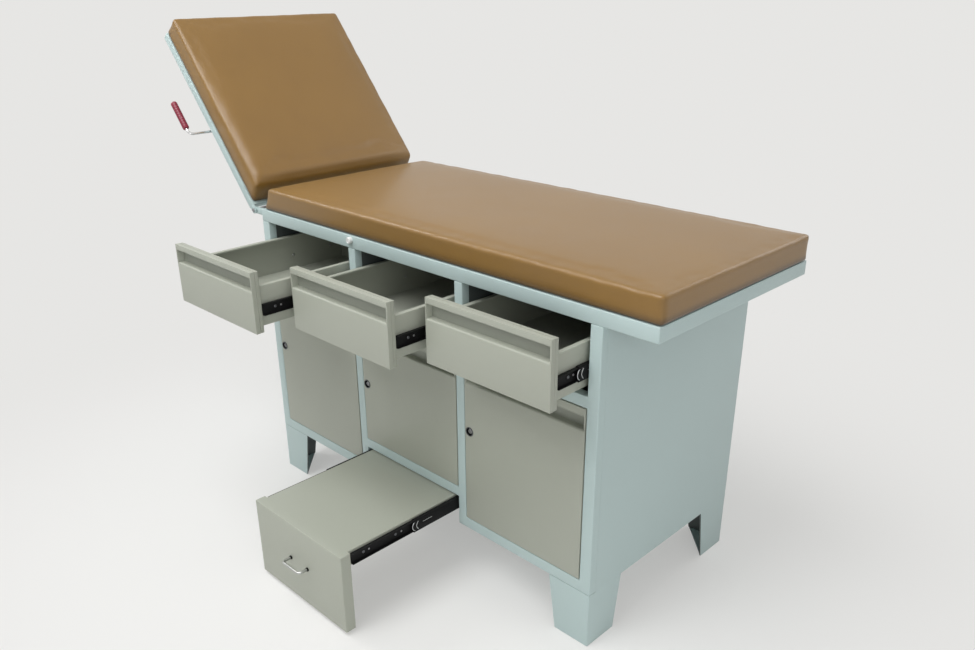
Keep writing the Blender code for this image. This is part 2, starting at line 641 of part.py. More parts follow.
def recessed_front(wide, low, high, lip, recess):
    """Folded front with a finger recess across it under the top lip, hollow behind its lower part."""
    front = box((0.0, 0.0, low), (wide, FRAME_DEPTH, high))
    recess_high = high - lip
    recess_low = recess_high - recess
    finger = box((RECESS_END, -OVERCUT, recess_low), (wide - RECESS_END, RECESS_DEPTH, recess_high))
    return cut(front, finger,
               box((SHEET, SHEET, low + SHEET), (wide - SHEET, frame_back, recess_low - SHEET)))


# Drawers, drawn shut from the lower left corner of their openings and moved out by their travel.
front_wide = bay - 2 * REVEAL
for i, name in enumerate(bay_name):
    fixed = pivot(name + "_drawer_bay", datum, (bay_start[i], 0.0, drawer_sill))
    runner = pivot(name + "_drawer_runner", datum, (bay_start[i], -DRAWER_TRAVEL[i] / 2, drawer_sill))
    drawer = pivot(name + "_drawer", datum, (bay_start[i], -DRAWER_TRAVEL[i], drawer_sill))
    front = recessed_front(front_wide, REVEAL, DRAWER_OPENING - REVEAL, DRAWER_FRONT_LIP, DRAWER_RECESS)
    front.data.transform(Matrix.Translation((REVEAL, 0.0, 0.0)))
    place(front, name + "_drawer_front", drawer, FRONT_PAINT)
    y0 = FRAME_DEPTH + SEAM
    y1 = y0 + DRAWER_BOX_LENGTH
    x0 = SLIDE_SPACE
    x1 = bay - SLIDE_SPACE
    z0 = DRAWER_BOX_LIFT
    z1 = z0 + DRAWER_BOX_HEIGHT
    tray = box((x0, y0, z0), (x1, y1, z1))
    cut(tray, box((x0 + SHEET, y0 + SHEET, z0 + SHEET), (x1 - SHEET, y1 - SHEET, z1 - SHEET)),
        box((x0 + DRAWER_BOX_LIP, y0 + SHEET, z1 - 2 * SHEET),
            (x1 - DRAWER_BOX_LIP, y1 - DRAWER_BOX_LIP, z1 + OVERCUT)))
    place(tray, name + "_drawer_box", drawer, FRONT_PAINT)
    for side_name, wall, side in (("left", 0.0, 1), ("right", bay, -1)):
        slide_set(name + "_drawer_" + side_name, "drawer_member", wall, side, DRAWER_SLIDE_LIFT,
                  FRAME_DEPTH + SLIDE_SETBACK, DRAWER_SLIDE, fixed, runner, drawer)

# Push button on the top band that locks the three drawers together.
button = pivot("drawer_lock_axis", datum, (button_x, 0.0, button_z))
knob = turned([(0.0, -LOCK_BUTTON_STAND), (LOCK_BUTTON * 0.75, -LOCK_BUTTON_STAND),
               (LOCK_BUTTON, -LOCK_BUTTON_STAND * 0.75),
               (LOCK_BUTTON, LOCK_BUTTON_LENGTH - LOCK_BUTTON_STAND),
               (0.0, LOCK_BUTTON_LENGTH - LOCK_BUTTON_STAND)], "Y", (0.0, 0.0, 0.0), 24)
place(knob, "drawer_lock_button", button, WHITE_PLASTIC, smooth=True)

# Footstep: the tread reaches under the front panel's folded top edge and runs on two slides; the
# panel carries a bow handle.
step_fixed = pivot("step_bay", datum, (middle, 0.0, 0.0))
step_runner = pivot("step_runner", datum, (middle, -STEP_TRAVEL / 2, 0.0))
step = pivot("step", datum, (middle, -STEP_TRAVEL, 0.0))
tread_x0 = step_web + SLIDE_SPACE
tread_x1 = bay - tread_x0
tread_y0 = SHEET + SEAM
tread_y1 = tread_y0 + STEP_TREAD_LENGTH
tread_high = STEP_FRONT_HIGH - SHEET - SEAM
tread_low = tread_high - STEP_TREAD_HEIGHT
tread = box((tread_x0, tread_y0, tread_low), (tread_x1, tread_y1, tread_high))
cut(tread, box((tread_x0 + SHEET, tread_y0 + SHEET, tread_low - OVERCUT),
               (tread_x1 - SHEET, tread_y1 - SHEET, tread_high - SHEET)))
place(tread, "step_tread", step, FRONT_PAINT)
front_x0 = STEP_FRONT_GAP
front_x1 = bay - STEP_FRONT_GAP
panel = box((front_x0, 0.0, STEP_FRONT_LOW), (front_x1, STEP_FRONT_DEPTH, STEP_FRONT_HIGH))
cut(panel, box((front_x0 + SHEET, SHEET, STEP_FRONT_LOW + SHEET),
               (front_x1 - SHEET, STEP_FRONT_DEPTH + OVERCUT, STEP_FRONT_HIGH - SHEET)))
place(panel, "step_front", step, FRONT_PAINT)
for side_name, wall, side in (("left", step_web, 1), ("right", bay - step_web, -1)):
    slide_set("step_" + side_name, "step_member", wall, side, STEP_SLIDE_CENTRE,
              STEP_SLIDE_START, STEP_SLIDE, step_fixed, step_runner, step)
handle_x = bay / 2
bow = HANDLE_HALF - HANDLE_BEND
turn_y = -HANDLE_STAND + HANDLE_BEND
path = [(handle_x - HANDLE_HALF, -SEAM)] + arc((handle_x - bow, turn_y), HANDLE_BEND, 180, 270, 6)
path += arc((handle_x + bow, turn_y), HANDLE_BEND, 270, 360, 6) + [(handle_x + HANDLE_HALF, -SEAM)]
handle = bent_rod([(x, y, HANDLE_HEIGHT) for x, y in path], HANDLE_ROD)
place(handle, "step_handle", step, BRIGHT_METAL, smooth=True)

# Doors, hung on integral pins at the right, each with a cam lock near its free edge.
for i, name in enumerate(bay_name):
    low = door_low[i] + REVEAL
    high = door_head - REVEAL
    hinge_x = bay_start[i] + bay - REVEAL - DOOR_PIN_IN
    hinge = pivot(name + "_door_axis", datum, (hinge_x, DOOR_PIN_BACK, 0.0))
    door = recessed_front(front_wide, low, high, DOOR_LIP, DOOR_RECESS)
    door.data.transform(Matrix.Translation((DOOR_PIN_IN - front_wide, -DOOR_PIN_BACK, 0.0)))
    pin_reach = DOOR_PIN_LENGTH - REVEAL
    join(door, rod("Z", (0.0, 0.0, 0.0), high - SHEET, high + pin_reach, DOOR_PIN),
         rod("Z", (0.0, 0.0, 0.0), low - pin_reach, low + SHEET / 2, DOOR_PIN))
    lock_x = DOOR_PIN_IN - front_wide + LOCK_IN
    cut(door, rod("Y", (lock_x, 0.0, LOCK_HEIGHT), -DOOR_PIN_BACK - OVERCUT,
                  -DOOR_PIN_BACK + SHEET + OVERCUT, LOCK_BARREL + PIN_PLAY))
    place(door, name + "_door", hinge, FRONT_PAINT)
    lock_axis = pivot(name + "_door_lock_axis", hinge, (lock_x, -DOOR_PIN_BACK, LOCK_HEIGHT))
    cam_y = FRAME_DEPTH + CAM_BACK
    lock = turned([(0.0, -LOCK_STAND), (LOCK_RIM * 0.9, -LOCK_STAND), (LOCK_RIM, -LOCK_STAND * 0.6),
                   (LOCK_RIM, -SEAM), (LOCK_BARREL, -SEAM), (LOCK_BARREL, cam_y + CAM_SHEET),
                   (0.0, cam_y + CAM_SHEET)], "Y", (0.0, 0.0, 0.0), 32)
    join(lock, box((-CAM_HALF, cam_y, -CAM_LENGTH), (CAM_HALF, cam_y + CAM_SHEET * 0.9, CAM_HALF)))
    cut(lock, box((-LOCK_RIM * 0.06, -LOCK_STAND - OVERCUT, -LOCK_RIM * 0.4),
                  (LOCK_RIM * 0.06, -LOCK_STAND + SHEET, LOCK_RIM * 0.4)))
    place(lock, name + "_door_lock", lock_axis, BRIGHT_METAL, smooth=True)
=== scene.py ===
import json
from math import atan2, cos, pi, radians, sin
import bmesh
import bpy
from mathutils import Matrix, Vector, noise


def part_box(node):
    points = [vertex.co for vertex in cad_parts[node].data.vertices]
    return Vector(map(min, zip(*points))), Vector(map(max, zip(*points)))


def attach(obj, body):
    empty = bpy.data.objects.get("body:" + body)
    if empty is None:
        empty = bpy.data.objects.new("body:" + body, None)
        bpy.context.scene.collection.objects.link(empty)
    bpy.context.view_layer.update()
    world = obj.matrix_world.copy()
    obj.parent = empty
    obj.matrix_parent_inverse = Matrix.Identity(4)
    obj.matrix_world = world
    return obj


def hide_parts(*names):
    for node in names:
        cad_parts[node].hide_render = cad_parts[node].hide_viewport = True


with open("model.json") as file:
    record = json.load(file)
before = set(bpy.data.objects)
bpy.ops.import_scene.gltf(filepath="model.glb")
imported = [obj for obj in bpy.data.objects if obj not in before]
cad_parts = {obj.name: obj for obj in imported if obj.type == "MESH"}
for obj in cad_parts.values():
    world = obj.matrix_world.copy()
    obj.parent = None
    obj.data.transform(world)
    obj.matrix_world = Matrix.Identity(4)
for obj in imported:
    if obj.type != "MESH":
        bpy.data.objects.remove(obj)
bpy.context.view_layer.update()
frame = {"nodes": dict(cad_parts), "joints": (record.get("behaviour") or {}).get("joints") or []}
joints = {joint["name"]: joint for joint in frame["joints"]}

# Paint on the cabinet: a pale blue-green powder coat, satin, with the faint pebbling of powder
# that is sprayed and baked, and a slow drift of tone over the large sheets. The faces inside the
# cabinet take a dark grey instead, painted shade for the shadow that falls inside.


class Value:
    """A shader socket that takes part in Python sums."""

    def __init__(self, finish, socket):
        self.finish = finish
        self.socket = socket

    def sum(self, operation, first, second):
        return self.finish.node("ShaderNodeMath", {"operation": operation}, {0: first, 1: second})

    def __add__(self, other):
        return self.sum("ADD", self, other)

    def __sub__(self, other):
        return self.sum("SUBTRACT", self, other)

    def __mul__(self, other):
        return self.sum("MULTIPLY", self, other)


class Finish:
    """A surface finish, or a sky: a shader and one method that adds any other node."""

    def __init__(self, name, kind="materials", shader="Principled BSDF", **constants):
        self.data = getattr(bpy.data, kind).new(name)
        self.data.use_nodes = True
        self.tree = self.data.node_tree
        self.shader = self.tree.nodes[shader]
        self.feed(**constants)
        self.place = self.node("ShaderNodeTexCoord", out="Object")

    def node(self, kind, settings=None, sockets=None, out=0):
        node = self.tree.nodes.new(kind)
        for key, value in (settings or {}).items():
            setattr(node, key, value)
        for key, value in (sockets or {}).items():
            self.put(node.inputs[key], value)
        return Value(self, node.outputs[out])

    def put(self, socket, value):
        if isinstance(value, Value):
            self.tree.links.new(value.socket, socket)
        else:
            socket.default_value = value

    def feed(self, **values):
        for name, value in values.items():
            self.put(self.shader.inputs[name.replace("_", " ")], value)

    def noise(self, scale, detail=2.0, stretch=(1.0, 1.0, 1.0)):
        """Noise from 0 to 1; scale is in features to the metre."""
        where = self.node("ShaderNodeMapping", sockets={"Vector": self.place, "Scale": stretch})
        return self.node("ShaderNodeTexNoise", sockets={"Vector": where, "Scale": scale, "Detail": detail})

    def blend(self, amount, low, high):
        """Colour between two colours."""
        return self.node("ShaderNodeMix", {"data_type": "RGBA"}, {0: amount, 6: low, 7: high}, out=2)

    def relief(self, height, depth):
        """Bump whose full height is given in metres."""
        self.feed(Normal=self.node("ShaderNodeBump", sockets={"Height": height, "Distance": depth}))


def powder_coat(name, light, dark):
    paint = Finish(name, Specular_IOR_Level=0.4)
    drift = paint.noise(2.3, 3.0)
    speck = paint.noise(520.0, 1.0)
    peel = paint.noise(760.0, 1.5)
    paint.feed(Base_Color=paint.blend(drift * 0.8 + speck * 0.2, dark, light))
    paint.feed(Roughness=peel * 0.10 + drift * 0.06 + 0.34)
    paint.relief(peel + speck * 0.4, 0.00004)
    return paint.data


cabinet_paint = powder_coat("cabinet_paint", (0.470, 0.580, 0.575, 1.0), (0.430, 0.534, 0.529, 1.0))
painted_inside_shade = powder_coat("painted_inside_shade_coat", (0.105, 0.122, 0.120, 1.0), (0.075, 0.088, 0.086, 1.0))

# Front face frame: one sheet with its openings cut out and every edge folded back, so that each
# post and rail is a shallow channel. Its corners are welded, dressed flat and painted over.
SHEET_GAUGE = 0.0014
FOLD_RADIUS = 0.0018
LEDGE_ROUND = 0.0045
UNDERCUT = 0.007
FRONT_GAP = 0.0025
PIN_REACH = 0.0055
STEP_LINTEL = 0.074
FACING_FRONT = (pi / 2, 0.0, 0.0)
BAYS = ("left", "middle", "right")


def deselect():
    bpy.ops.object.select_all(action="DESELECT")


def fix_transform():
    bpy.ops.object.transform_apply(location=True, rotation=True, scale=True)


def start_edit():
    bpy.ops.object.mode_set(mode="EDIT")


def end_edit():
    bpy.ops.object.mode_set(mode="OBJECT")


def select_all():
    bpy.ops.mesh.select_all(action="SELECT")


def face_outward():
    select_all()
    bpy.ops.mesh.normals_make_consistent(inside=False)


def flange(x, y, z):
    """Carry the selected edges on into a new strip of sheet."""
    bpy.ops.mesh.extrude_edges_move(TRANSFORM_OT_translate={"value": (x, y, z)})


def shaped(name, size):
    """Name the piece just added, give it its size and open it for editing."""
    piece = bpy.context.object
    piece.name = name
    piece.scale = size
    fix_transform()
    start_edit()
    return piece


def blank(name, wide, tall, centre):
    """Flat sheet, face up, open for editing."""
    deselect()
    bpy.ops.mesh.primitive_plane_add(size=1.0, location=centre)
    return shaped(name, (wide, tall, 1.0))


def pick(kind, test):
    """Select the corners, edges or faces of the piece being edited that pass a test."""
    mesh = bpy.context.edit_object.data
    bpy.ops.mesh.select_mode(type=kind)
    bpy.ops.mesh.select_all(action="DESELECT")
    bm = bmesh.from_edit_mesh(mesh)
    for item in {"VERT": bm.verts, "EDGE": bm.edges, "FACE": bm.faces}[kind]:
        item.select_set(bool(test(item)))
    bm.select_flush_mode()
    bmesh.update_edit_mesh(mesh)


def middle_of(edge):
    return (edge.verts[0].co + edge.verts[1].co) / 2


def is_fold(edge):
    return len(edge.link_faces) == 2 and edge.calc_face_angle() > radians(40)


def bevel(test, width, segments):
    """Round or break the edges that pass a test."""
    pick("EDGE", test)
    bpy.ops.mesh.bevel(offset=width, segments=segments, affect="EDGES", clamp_overlap=True)


def drop(test):
    """Take away the faces that pass a test."""
    pick("FACE", test)
    bpy.ops.mesh.delete(type="FACE")


def cut(place, normal):
    """Draw a straight line across the whole piece."""
    select_all()
    bpy.ops.mesh.bisect(plane_co=place, plane_no=normal)


def make_current(piece):
    deselect()
    piece.select_set(True)
    bpy.context.view_layer.objects.active = piece


def apply_modifiers(piece):
    make_current(piece)
    for modifier in list(piece.modifiers):
        bpy.ops.object.modifier_apply(modifier=modifier.name)


def move_to(piece, place=(0.0, 0.0, 0.0), turn=(0.0, 0.0, 0.0)):
    """Turn a piece, move it, and leave its object at the origin."""
    make_current(piece)
    piece.location = place
    piece.rotation_euler = turn
    fix_transform()


def settle(piece, finish, body, slot, *nodes):
    """Give a finished piece its surface, unless it has one, and its place in the assembly."""
    if not piece.data.materials:
        piece.data.materials.append(finish)
    make_current(piece)
    bpy.ops.object.shade_smooth_by_angle(angle=radians(35))
    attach(piece, body)
    if nodes:
        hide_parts(*nodes)


def settle_carcass(piece, *nodes):
    settle(piece, cabinet_paint, "cabinet", "carcass_paint", *nodes)


def coat(piece, finish, inner, test):
    """Give a piece its finish, and the faces that pass a test another."""
    piece.data.materials.append(finish)
    piece.data.materials.append(inner)
    make_current(piece)
    start_edit()
    pick("FACE", test)
    piece.active_material_index = 1
    bpy.ops.object.material_slot_assign()
    end_edit()


def thicken(piece, gauge):
    """Give a bent sheet its thickness, inward from the face that was drawn."""
    skin = piece.modifiers.new("gauge", "SOLIDIFY")
    skin.thickness = gauge
    skin.offset = -1.0
    skin.use_even_offset = True
    apply_modifiers(piece)


def folded_sheet(name, wide, tall, depth, openings=(), recess=None, lip=0.0, hem=0.0, fold=FOLD_RADIUS):
    """Sheet drawn flat from its lower left corner, face up, with its edges folded down by depth,
    openings cut through, a recess pressed in, and a lip and hem folded inward at the far edge."""
    piece = blank(name, wide, tall, (wide / 2, tall / 2, 0.0))
    areas = list(openings) + ([recess] if recess else [])
    for axis, length in ((0, wide), (1, tall)):
        normal = (1.0 - axis, float(axis), 0.0)
        for line in sorted({round(area[axis + k], 6) for area in areas for k in (0, 2)}):
            if 0.0 < line < length:
                cut([line * n for n in normal], normal)

    def inside(face, area):
        x, y, z = face.calc_center_median()
        return area[0] < x < area[2] and area[1] < y < area[3]

    if openings:
        drop(lambda f: any(inside(f, area) for area in openings))
    if recess:
        pick("FACE", lambda f: inside(f, recess))
        bpy.ops.mesh.extrude_region_move(TRANSFORM_OT_translate={"value": (0.0, 0.0, -recess[4])})
        pick("VERT", lambda v: v.co.z < -recess[4] + 0.0005 and abs(v.co.y - recess[3]) < 0.0005)
        bpy.ops.transform.translate(value=(0.0, UNDERCUT, 0.0))
        bevel(lambda e: is_fold(e) and abs(middle_of(e).y - recess[1]) < 0.0005
              and middle_of(e).z > -0.001, LEDGE_ROUND, 5)
    pick("EDGE", lambda e: e.is_boundary)
    flange(0.0, 0.0, -depth)
    if lip:
        pick("EDGE", lambda e: e.is_boundary)
        flange(0.0, 0.0, 0.0)
        bpy.ops.transform.resize(value=(1 - 2 * lip / wide, 1 - 2 * lip / tall, 1.0),
                                 center_override=(wide / 2, tall / 2, 0.0))
        if hem:
            flange(0.0, 0.0, hem)
    bevel(is_fold, fold, 3)
    end_edit()
    thicken(piece, SHEET_GAUGE)
    return piece


low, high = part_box("front_frame")
openings = []
for bay in BAYS:
    front_low, front_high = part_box(bay + "_drawer_front")
    left, right = front_low[0] - FRONT_GAP, front_high[0] + FRONT_GAP
    sill = front_low[2] - FRONT_GAP
    openings.append((left - low[0], sill - low[2], right - low[0], 1.0))
    door_low, door_high = (corner[2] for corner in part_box(bay + "_door"))
    openings.append((left - low[0], door_low + PIN_REACH - FRONT_GAP - low[2],
                     right - low[0], door_high - PIN_REACH + FRONT_GAP - low[2]))
openings.append((openings[2][0], -1.0, openings[2][2], STEP_LINTEL))
face = folded_sheet("front_face_frame", high[0] - low[0], high[2] - low[2], high[1] - low[1], openings)
move_to(face, low, FACING_FRONT)
settle_carcass(face, "front_frame")

# Side panels and partitions: double walls folded from sheet into flat tubes, open above and below.
# Those beside a door lock are notched behind the face frame for the lock's cam.
NOTCH_DEEP = 0.0078
NOTCH_REACH = 0.0135
NOTCH_SPARE = 0.004


def raw_box(name, low, high):
    """Plain box between two corners, open for editing."""
    deselect()
    bpy.ops.mesh.primitive_cube_add(size=1.0, location=(Vector(low) + Vector(high)) / 2)
    return shaped(name, Vector(high) - Vector(low))


def double_wall(name, notched, outward):
    """Flat tube of sheet; its cabinet paint faces left for -1, right for 1, neither for 0, and its other
    side faces are painted dark as painted shade.
    """
    low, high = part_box(name)
    if name == "left_side_panel":
        low = Vector((panel_left, low[1], low[2]))
    piece = raw_box(name + "_sheet", low, high)
    drop(lambda f: abs(f.normal.z) > 0.9)
    if notched:
        lock_low, lock_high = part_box(notched)
        bottom, top = lock_low[2] - NOTCH_SPARE, lock_high[2] + NOTCH_SPARE
        cut((0.0, 0.0, bottom), (0.0, 0.0, 1.0))
        cut((0.0, 0.0, top), (0.0, 0.0, 1.0))
        cut((0.0, low[1] + NOTCH_DEEP, 0.0), (0.0, 1.0, 0.0))
        cut((high[0] - NOTCH_REACH, 0.0, 0.0), (1.0, 0.0, 0.0))

        def in_notch(face):
            x, y, z = face.calc_center_median()
            return x > high[0] - NOTCH_REACH and y < low[1] + NOTCH_DEEP and bottom < z < top

        drop(in_notch)
    bevel(lambda e: is_fold(e) and middle_of(e).y > low[1] + NOTCH_REACH, FOLD_RADIUS, 3)
    end_edit()
    thicken(piece, SHEET_GAUGE)
    # Painted shade: the side faces toward the inside of the cabinet take the dark inside coat.
    coat(piece, cabinet_paint, painted_inside_shade, lambda f: outward * f.normal.x < 0.5 and abs(f.normal.x) > 0.5)
    settle_carcass(piece, name)


panel_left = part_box("front_frame")[0][0]
double_wall("left_side_panel", "left_door_lock", -1.0)
double_wall("left_partition", "middle_door_lock", 0.0)
double_wall("right_partition", "right_door_lock", 0.0)
double_wall("right_side_panel", None, 1.0)

# Lug on the left side panel for the gas spring's lower pin: a rounded plate welded edge-on, with
# the pin pressed through it.
LUG_HALF = 0.012
LUG_GAUGE = 0.004
SEAM = 0.0003
GAS_PIN = 0.004
GAS_PIN_REACH = 0.006
NEARLY_ROUND = 0.98


def block(name, low, high, rounded=None, radius=0.0, soften=0.0005):
    """Bar or plate; the edges that pass the test are rounded, the others only broken."""
    piece = raw_box(name, low, high)
    if rounded:
        bevel(rounded, radius, 8)
    bevel(is_fold, soften, 2)
    end_edit()
    return piece


def lathe(name, profile, sides=32):
    """Turned piece standing on Z: a disc drawn out step by step along (radius, height)."""
    deselect()
    radius, level = profile[0]
    bpy.ops.mesh.primitive_circle_add(vertices=sides, radius=radius, fill_type="NGON",
                                      location=(0.0, 0.0, level))
    piece = shaped(name, (1.0, 1.0, 1.0))
    select_all()
    for wide, high in profile[1:]:
        bpy.ops.mesh.extrude_region_move(TRANSFORM_OT_translate={"value": (0.0, 0.0, high - level)})
        bpy.ops.transform.resize(value=(wide / radius, wide / radius, 1.0), center_override=(0.0, 0.0, 0.0))
        radius, level = wide, high
    face_outward()
    end_edit()
    return piece


def pin(name, axis, low, high, radius):
    """Round bar with broken ends, lying along Y or standing along Z."""
    edge = min(0.0006, radius / 4)
    length = high - low
    piece = lathe(name, [(radius - edge, low), (radius, low + edge), (radius, low + length - edge),
                         (radius - edge, high)])
    if axis == "Y":
        move_to(piece, turn=(-pi / 2, 0.0, 0.0))
    return piece


def unite(piece, *others):
    """Weld pieces into a single mesh; one without a finish takes the first piece's."""
    make_current(piece)
    for other in others:
        if piece.data.materials and not other.data.materials:
            other.data.materials.append(piece.data.materials[0])
        other.select_set(True)
    bpy.ops.object.join()
    return piece


def along_y(edge):
    a, b = (corner.co for corner in edge.verts)
    return abs(a.y - b.y) > 0.001


foot = Vector(joints["gas_spring_foot_pin"]["pos_m"])
tube_low, tube_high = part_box("gas_spring_cylinder")
lug = block("gas_spring_foot_lug", (foot.x - LUG_HALF, tube_high[1] + SEAM, foot.z - LUG_HALF),
            (panel_left, tube_high[1] + SEAM + LUG_GAUGE, foot.z + LUG_HALF),
            lambda e: along_y(e) and middle_of(e).x < foot.x, LUG_HALF * NEARLY_ROUND)
bolt = pin("gas_spring_foot_bolt", "Y", tube_low[1], tube_high[1] + GAS_PIN_REACH, GAS_PIN)
move_to(bolt, (foot.x, 0.0, foot.z))
settle_carcass(unite(lug, bolt))

# Back sheet: a plain panel let in between the side panels and held all round by pop rivets.
# The floor pan lies in the bottom of the cabinet and steps up over the footstep's bay.
RIVET_PITCH = 0.118
RIVET_EDGE = 0.015


def dressed_copy(name, node, soften=0.0006):
    """Copy of a plain sheet with its facets joined up and its sharp edges broken."""
    make_current(frame["nodes"][node])
    bpy.ops.object.duplicate()
    piece = bpy.context.object
    piece.name = name
    world = piece.matrix_world.copy()
    piece.parent = None
    piece.matrix_world = world
    piece.data.materials.clear()
    fix_transform()
    start_edit()
    select_all()
    bpy.ops.mesh.remove_doubles(threshold=0.00001)
    bpy.ops.mesh.normals_make_consistent(inside=False)
    bpy.ops.mesh.dissolve_limited(angle_limit=radians(2))
    bevel(is_fold, soften, 2)
    end_edit()
    return piece


def copy_to(piece, place, turn=(0.0, 0.0, 0.0)):
    make_current(piece)
    bpy.ops.object.duplicate()
    twin = bpy.context.object
    move_to(twin, place, turn)
    return twin


back_sheet = dressed_copy("back_sheet", "back_panel")
# Painted shade: the back sheet's inward faces and the floor pan's upward faces take the dark inside coat.
coat(back_sheet, cabinet_paint, painted_inside_shade, lambda f: f.normal.y < -0.5)
settle_carcass(back_sheet, "back_panel")
floor_sheet = dressed_copy("floor_sheet", "floor_pan")
coat(floor_sheet, cabinet_paint, painted_inside_shade, lambda f: f.normal.z > 0.5)
settle_carcass(floor_sheet, "floor_pan")
low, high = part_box("back_panel")
rivet = lathe("rivet", [(0.0032, 0.0), (0.0030, 0.0006), (0.0022, 0.0012), (0.0010, 0.0015)], 16)
move_to(rivet, turn=(-pi / 2, 0.0, 0.0))
row_wide = high[0] - low[0] - 2 * RIVET_EDGE
row_tall = high[2] - low[2] - 2 * RIVET_EDGE
across = round(row_wide / RIVET_PITCH)
up = round(row_tall / RIVET_PITCH)
places = []
for i in range(across + 1):
    for j in range(up + 1):
        if i in (0, across) or j in (0, up):
            x = low[0] + RIVET_EDGE + row_wide * i / across
            z = low[2] + RIVET_EDGE + row_tall * j / up
            places.append((x, high[1], z))
rivets = [copy_to(rivet, place) for place in places[1:]]
move_to(rivet, places[0])
settle_carcass(unite(rivet, *rivets))

# Corner legs: two tapered plates bent from one sheet, closed above and below by welded
# three-cornered plates, so that each leg stands on a small triangle.
LEG_HEAD = 0.110
LEG_FOOT = 0.090
LEG_GAUGE = 0.0028
LEG_FOLD = 0.0022

leg_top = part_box("front_frame")[0][2]
leg = raw_box("front_left_leg_plates", (0.0, 0.0, 0.0), (LEG_HEAD, LEG_HEAD, leg_top))
drop(lambda f: f.normal.x > 0.9 or f.normal.y > 0.9 or abs(f.normal.z) > 0.9)
pick("VERT", lambda v: v.co.z < 0.001 and v.co.x > LEG_FOOT / 2)
bpy.ops.transform.translate(value=(LEG_FOOT - LEG_HEAD, 0.0, 0.0))
pick("VERT", lambda v: v.co.z < 0.001 and v.co.y > LEG_FOOT / 2)
bpy.ops.transform.translate(value=(0.0, LEG_FOOT - LEG_HEAD, 0.0))
pick("VERT", lambda v: v.co.z < 0.001)
bpy.ops.mesh.edge_face_add()
pick("VERT", lambda v: v.co.z > leg_top / 2)
bpy.ops.mesh.edge_face_add()
face_outward()
bevel(lambda e: is_fold(e) and middle_of(e).z < leg_top - 0.01, LEG_FOLD, 3)
end_edit()
thicken(leg, LEG_GAUGE)
# Painted shade: the leg's inner faces take the dark inside coat.
coat(leg, cabinet_paint, painted_inside_shade, lambda f: f.normal.x + f.normal.y > 0.3)
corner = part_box("front_frame")[0]
far = Vector((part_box("front_frame")[1][0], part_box("back_panel")[1][1], 0.0))
for name, x, y, turn in (("front_right_leg", far.x, corner[1], pi / 2),
                         ("rear_right_leg", far.x, far.y, pi),
                         ("rear_left_leg", corner[0], far.y, -pi / 2)):
    twin = copy_to(leg, (x, y, 0.0), (0.0, 0.0, turn))
    twin.name = name + "_plates"
    settle_carcass(twin, name)
move_to(leg, (corner[0], corner[1], 0.0))
settle_carcass(leg, "front_left_leg")

# Fixed top: a shallow pan turned downward, its band folded under into a lip, which overhangs the
# cabinet at the foot end. Two rounded ears at the head end carry the backrest's hinge rod.
TOP_BAND = 0.031
TOP_LIP = 0.020
EAR = 0.005
EAR_HALF = 0.009
EAR_PLAY = 0.0005
hinge = Vector(joints["backrest_hinge"]["pos_m"])
front_y = corner[1]
depth = far.y - front_y
top_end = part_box("top_frame")[1][0]
top_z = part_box("top_frame")[1][2]
top = folded_sheet("top_pan", top_end - corner[0], depth, TOP_BAND, lip=TOP_LIP)
# Painted shade: the pan's underside takes the dark inside coat.
coat(top, cabinet_paint, painted_inside_shade,
     lambda f: f.normal.z < -0.5 and f.calc_center_median().z > -TOP_BAND / 2)
move_to(top, (corner[0], front_y, top_z))
ears = []
for y in (front_y + EAR + EAR_PLAY, far.y - 2 * EAR - EAR_PLAY):
    ears.append(block("hinge_ear", (hinge.x - EAR_HALF, y, hinge.z - EAR_HALF),
                      (corner[0] + 0.0005, y + EAR, hinge.z + EAR_HALF),
                      lambda e: along_y(e) and middle_of(e).x < hinge.x, EAR_HALF * NEARLY_ROUND))
settle_carcass(unite(top, *ears), "top_frame")

# Hinge rod: dull zinc-plated steel bar through the ears and the backrest's lugs, its ends just
# proud of the lugs and riveted over.


def bare_metal(name, colour, roughness, brushed):
    metal = Finish(name, Metallic=1.0)
    streak = metal.noise(240.0, 2.0, brushed)
    cloud = metal.noise(18.0, 2.0)
    dull = tuple(channel * 0.86 for channel in colour[:3]) + (1.0,)
    metal.feed(Base_Color=metal.blend(cloud * 0.6 + streak * 0.4, dull, colour))
    metal.feed(Roughness=streak * 0.10 + cloud * 0.05 + roughness)
    return metal.data


HINGE_ROD = 0.005
dull_zinc = bare_metal("dull_zinc", (0.34, 0.34, 0.35, 1.0), 0.34, (2.0, 2.0, 2.0))
rod_low, rod_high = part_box("hinge_rod")
rod = pin("hinge_bar", "Y", rod_low[1], rod_high[1], HINGE_ROD)
move_to(rod, (hinge.x, 0.0, hinge.z))
settle(rod, dull_zinc, "cabinet", "steel", "hinge_rod")

# Seat cushion: foam on a board under tan leatherette, pulled tight and stapled underneath. Its edges
# are narrow rounds, the lower ones tucked in and darkened by painted shade, its corners nearly square,
# its top a little swollen toward the middle and faintly puckered along the edges.
CUSHION_EDGE = 0.056
CUSHION_ROUND = 0.0085
PAD_CELL = 0.011
CUSHION_CORNER = 0.0105
HINGE_END_LEAN = 0.024
TUCK = 0.0085
TUCK_INSET = 0.0006
UNDER_EDGE = 0.003
SIDE_BOW = 0.0004
LEAST_SWELL = 0.007
EDGE_SWELL = 0.0012
MOST_SWELL = 0.0080
STUFFING_FRAMES = 20
BULGE = 0.0016
BULGE_DEPTH = 0.022
SHADE_HIGH = 0.020
PUCKER = 0.0017
PUCKERS = 46.0
PUCKER_REACH = 0.045


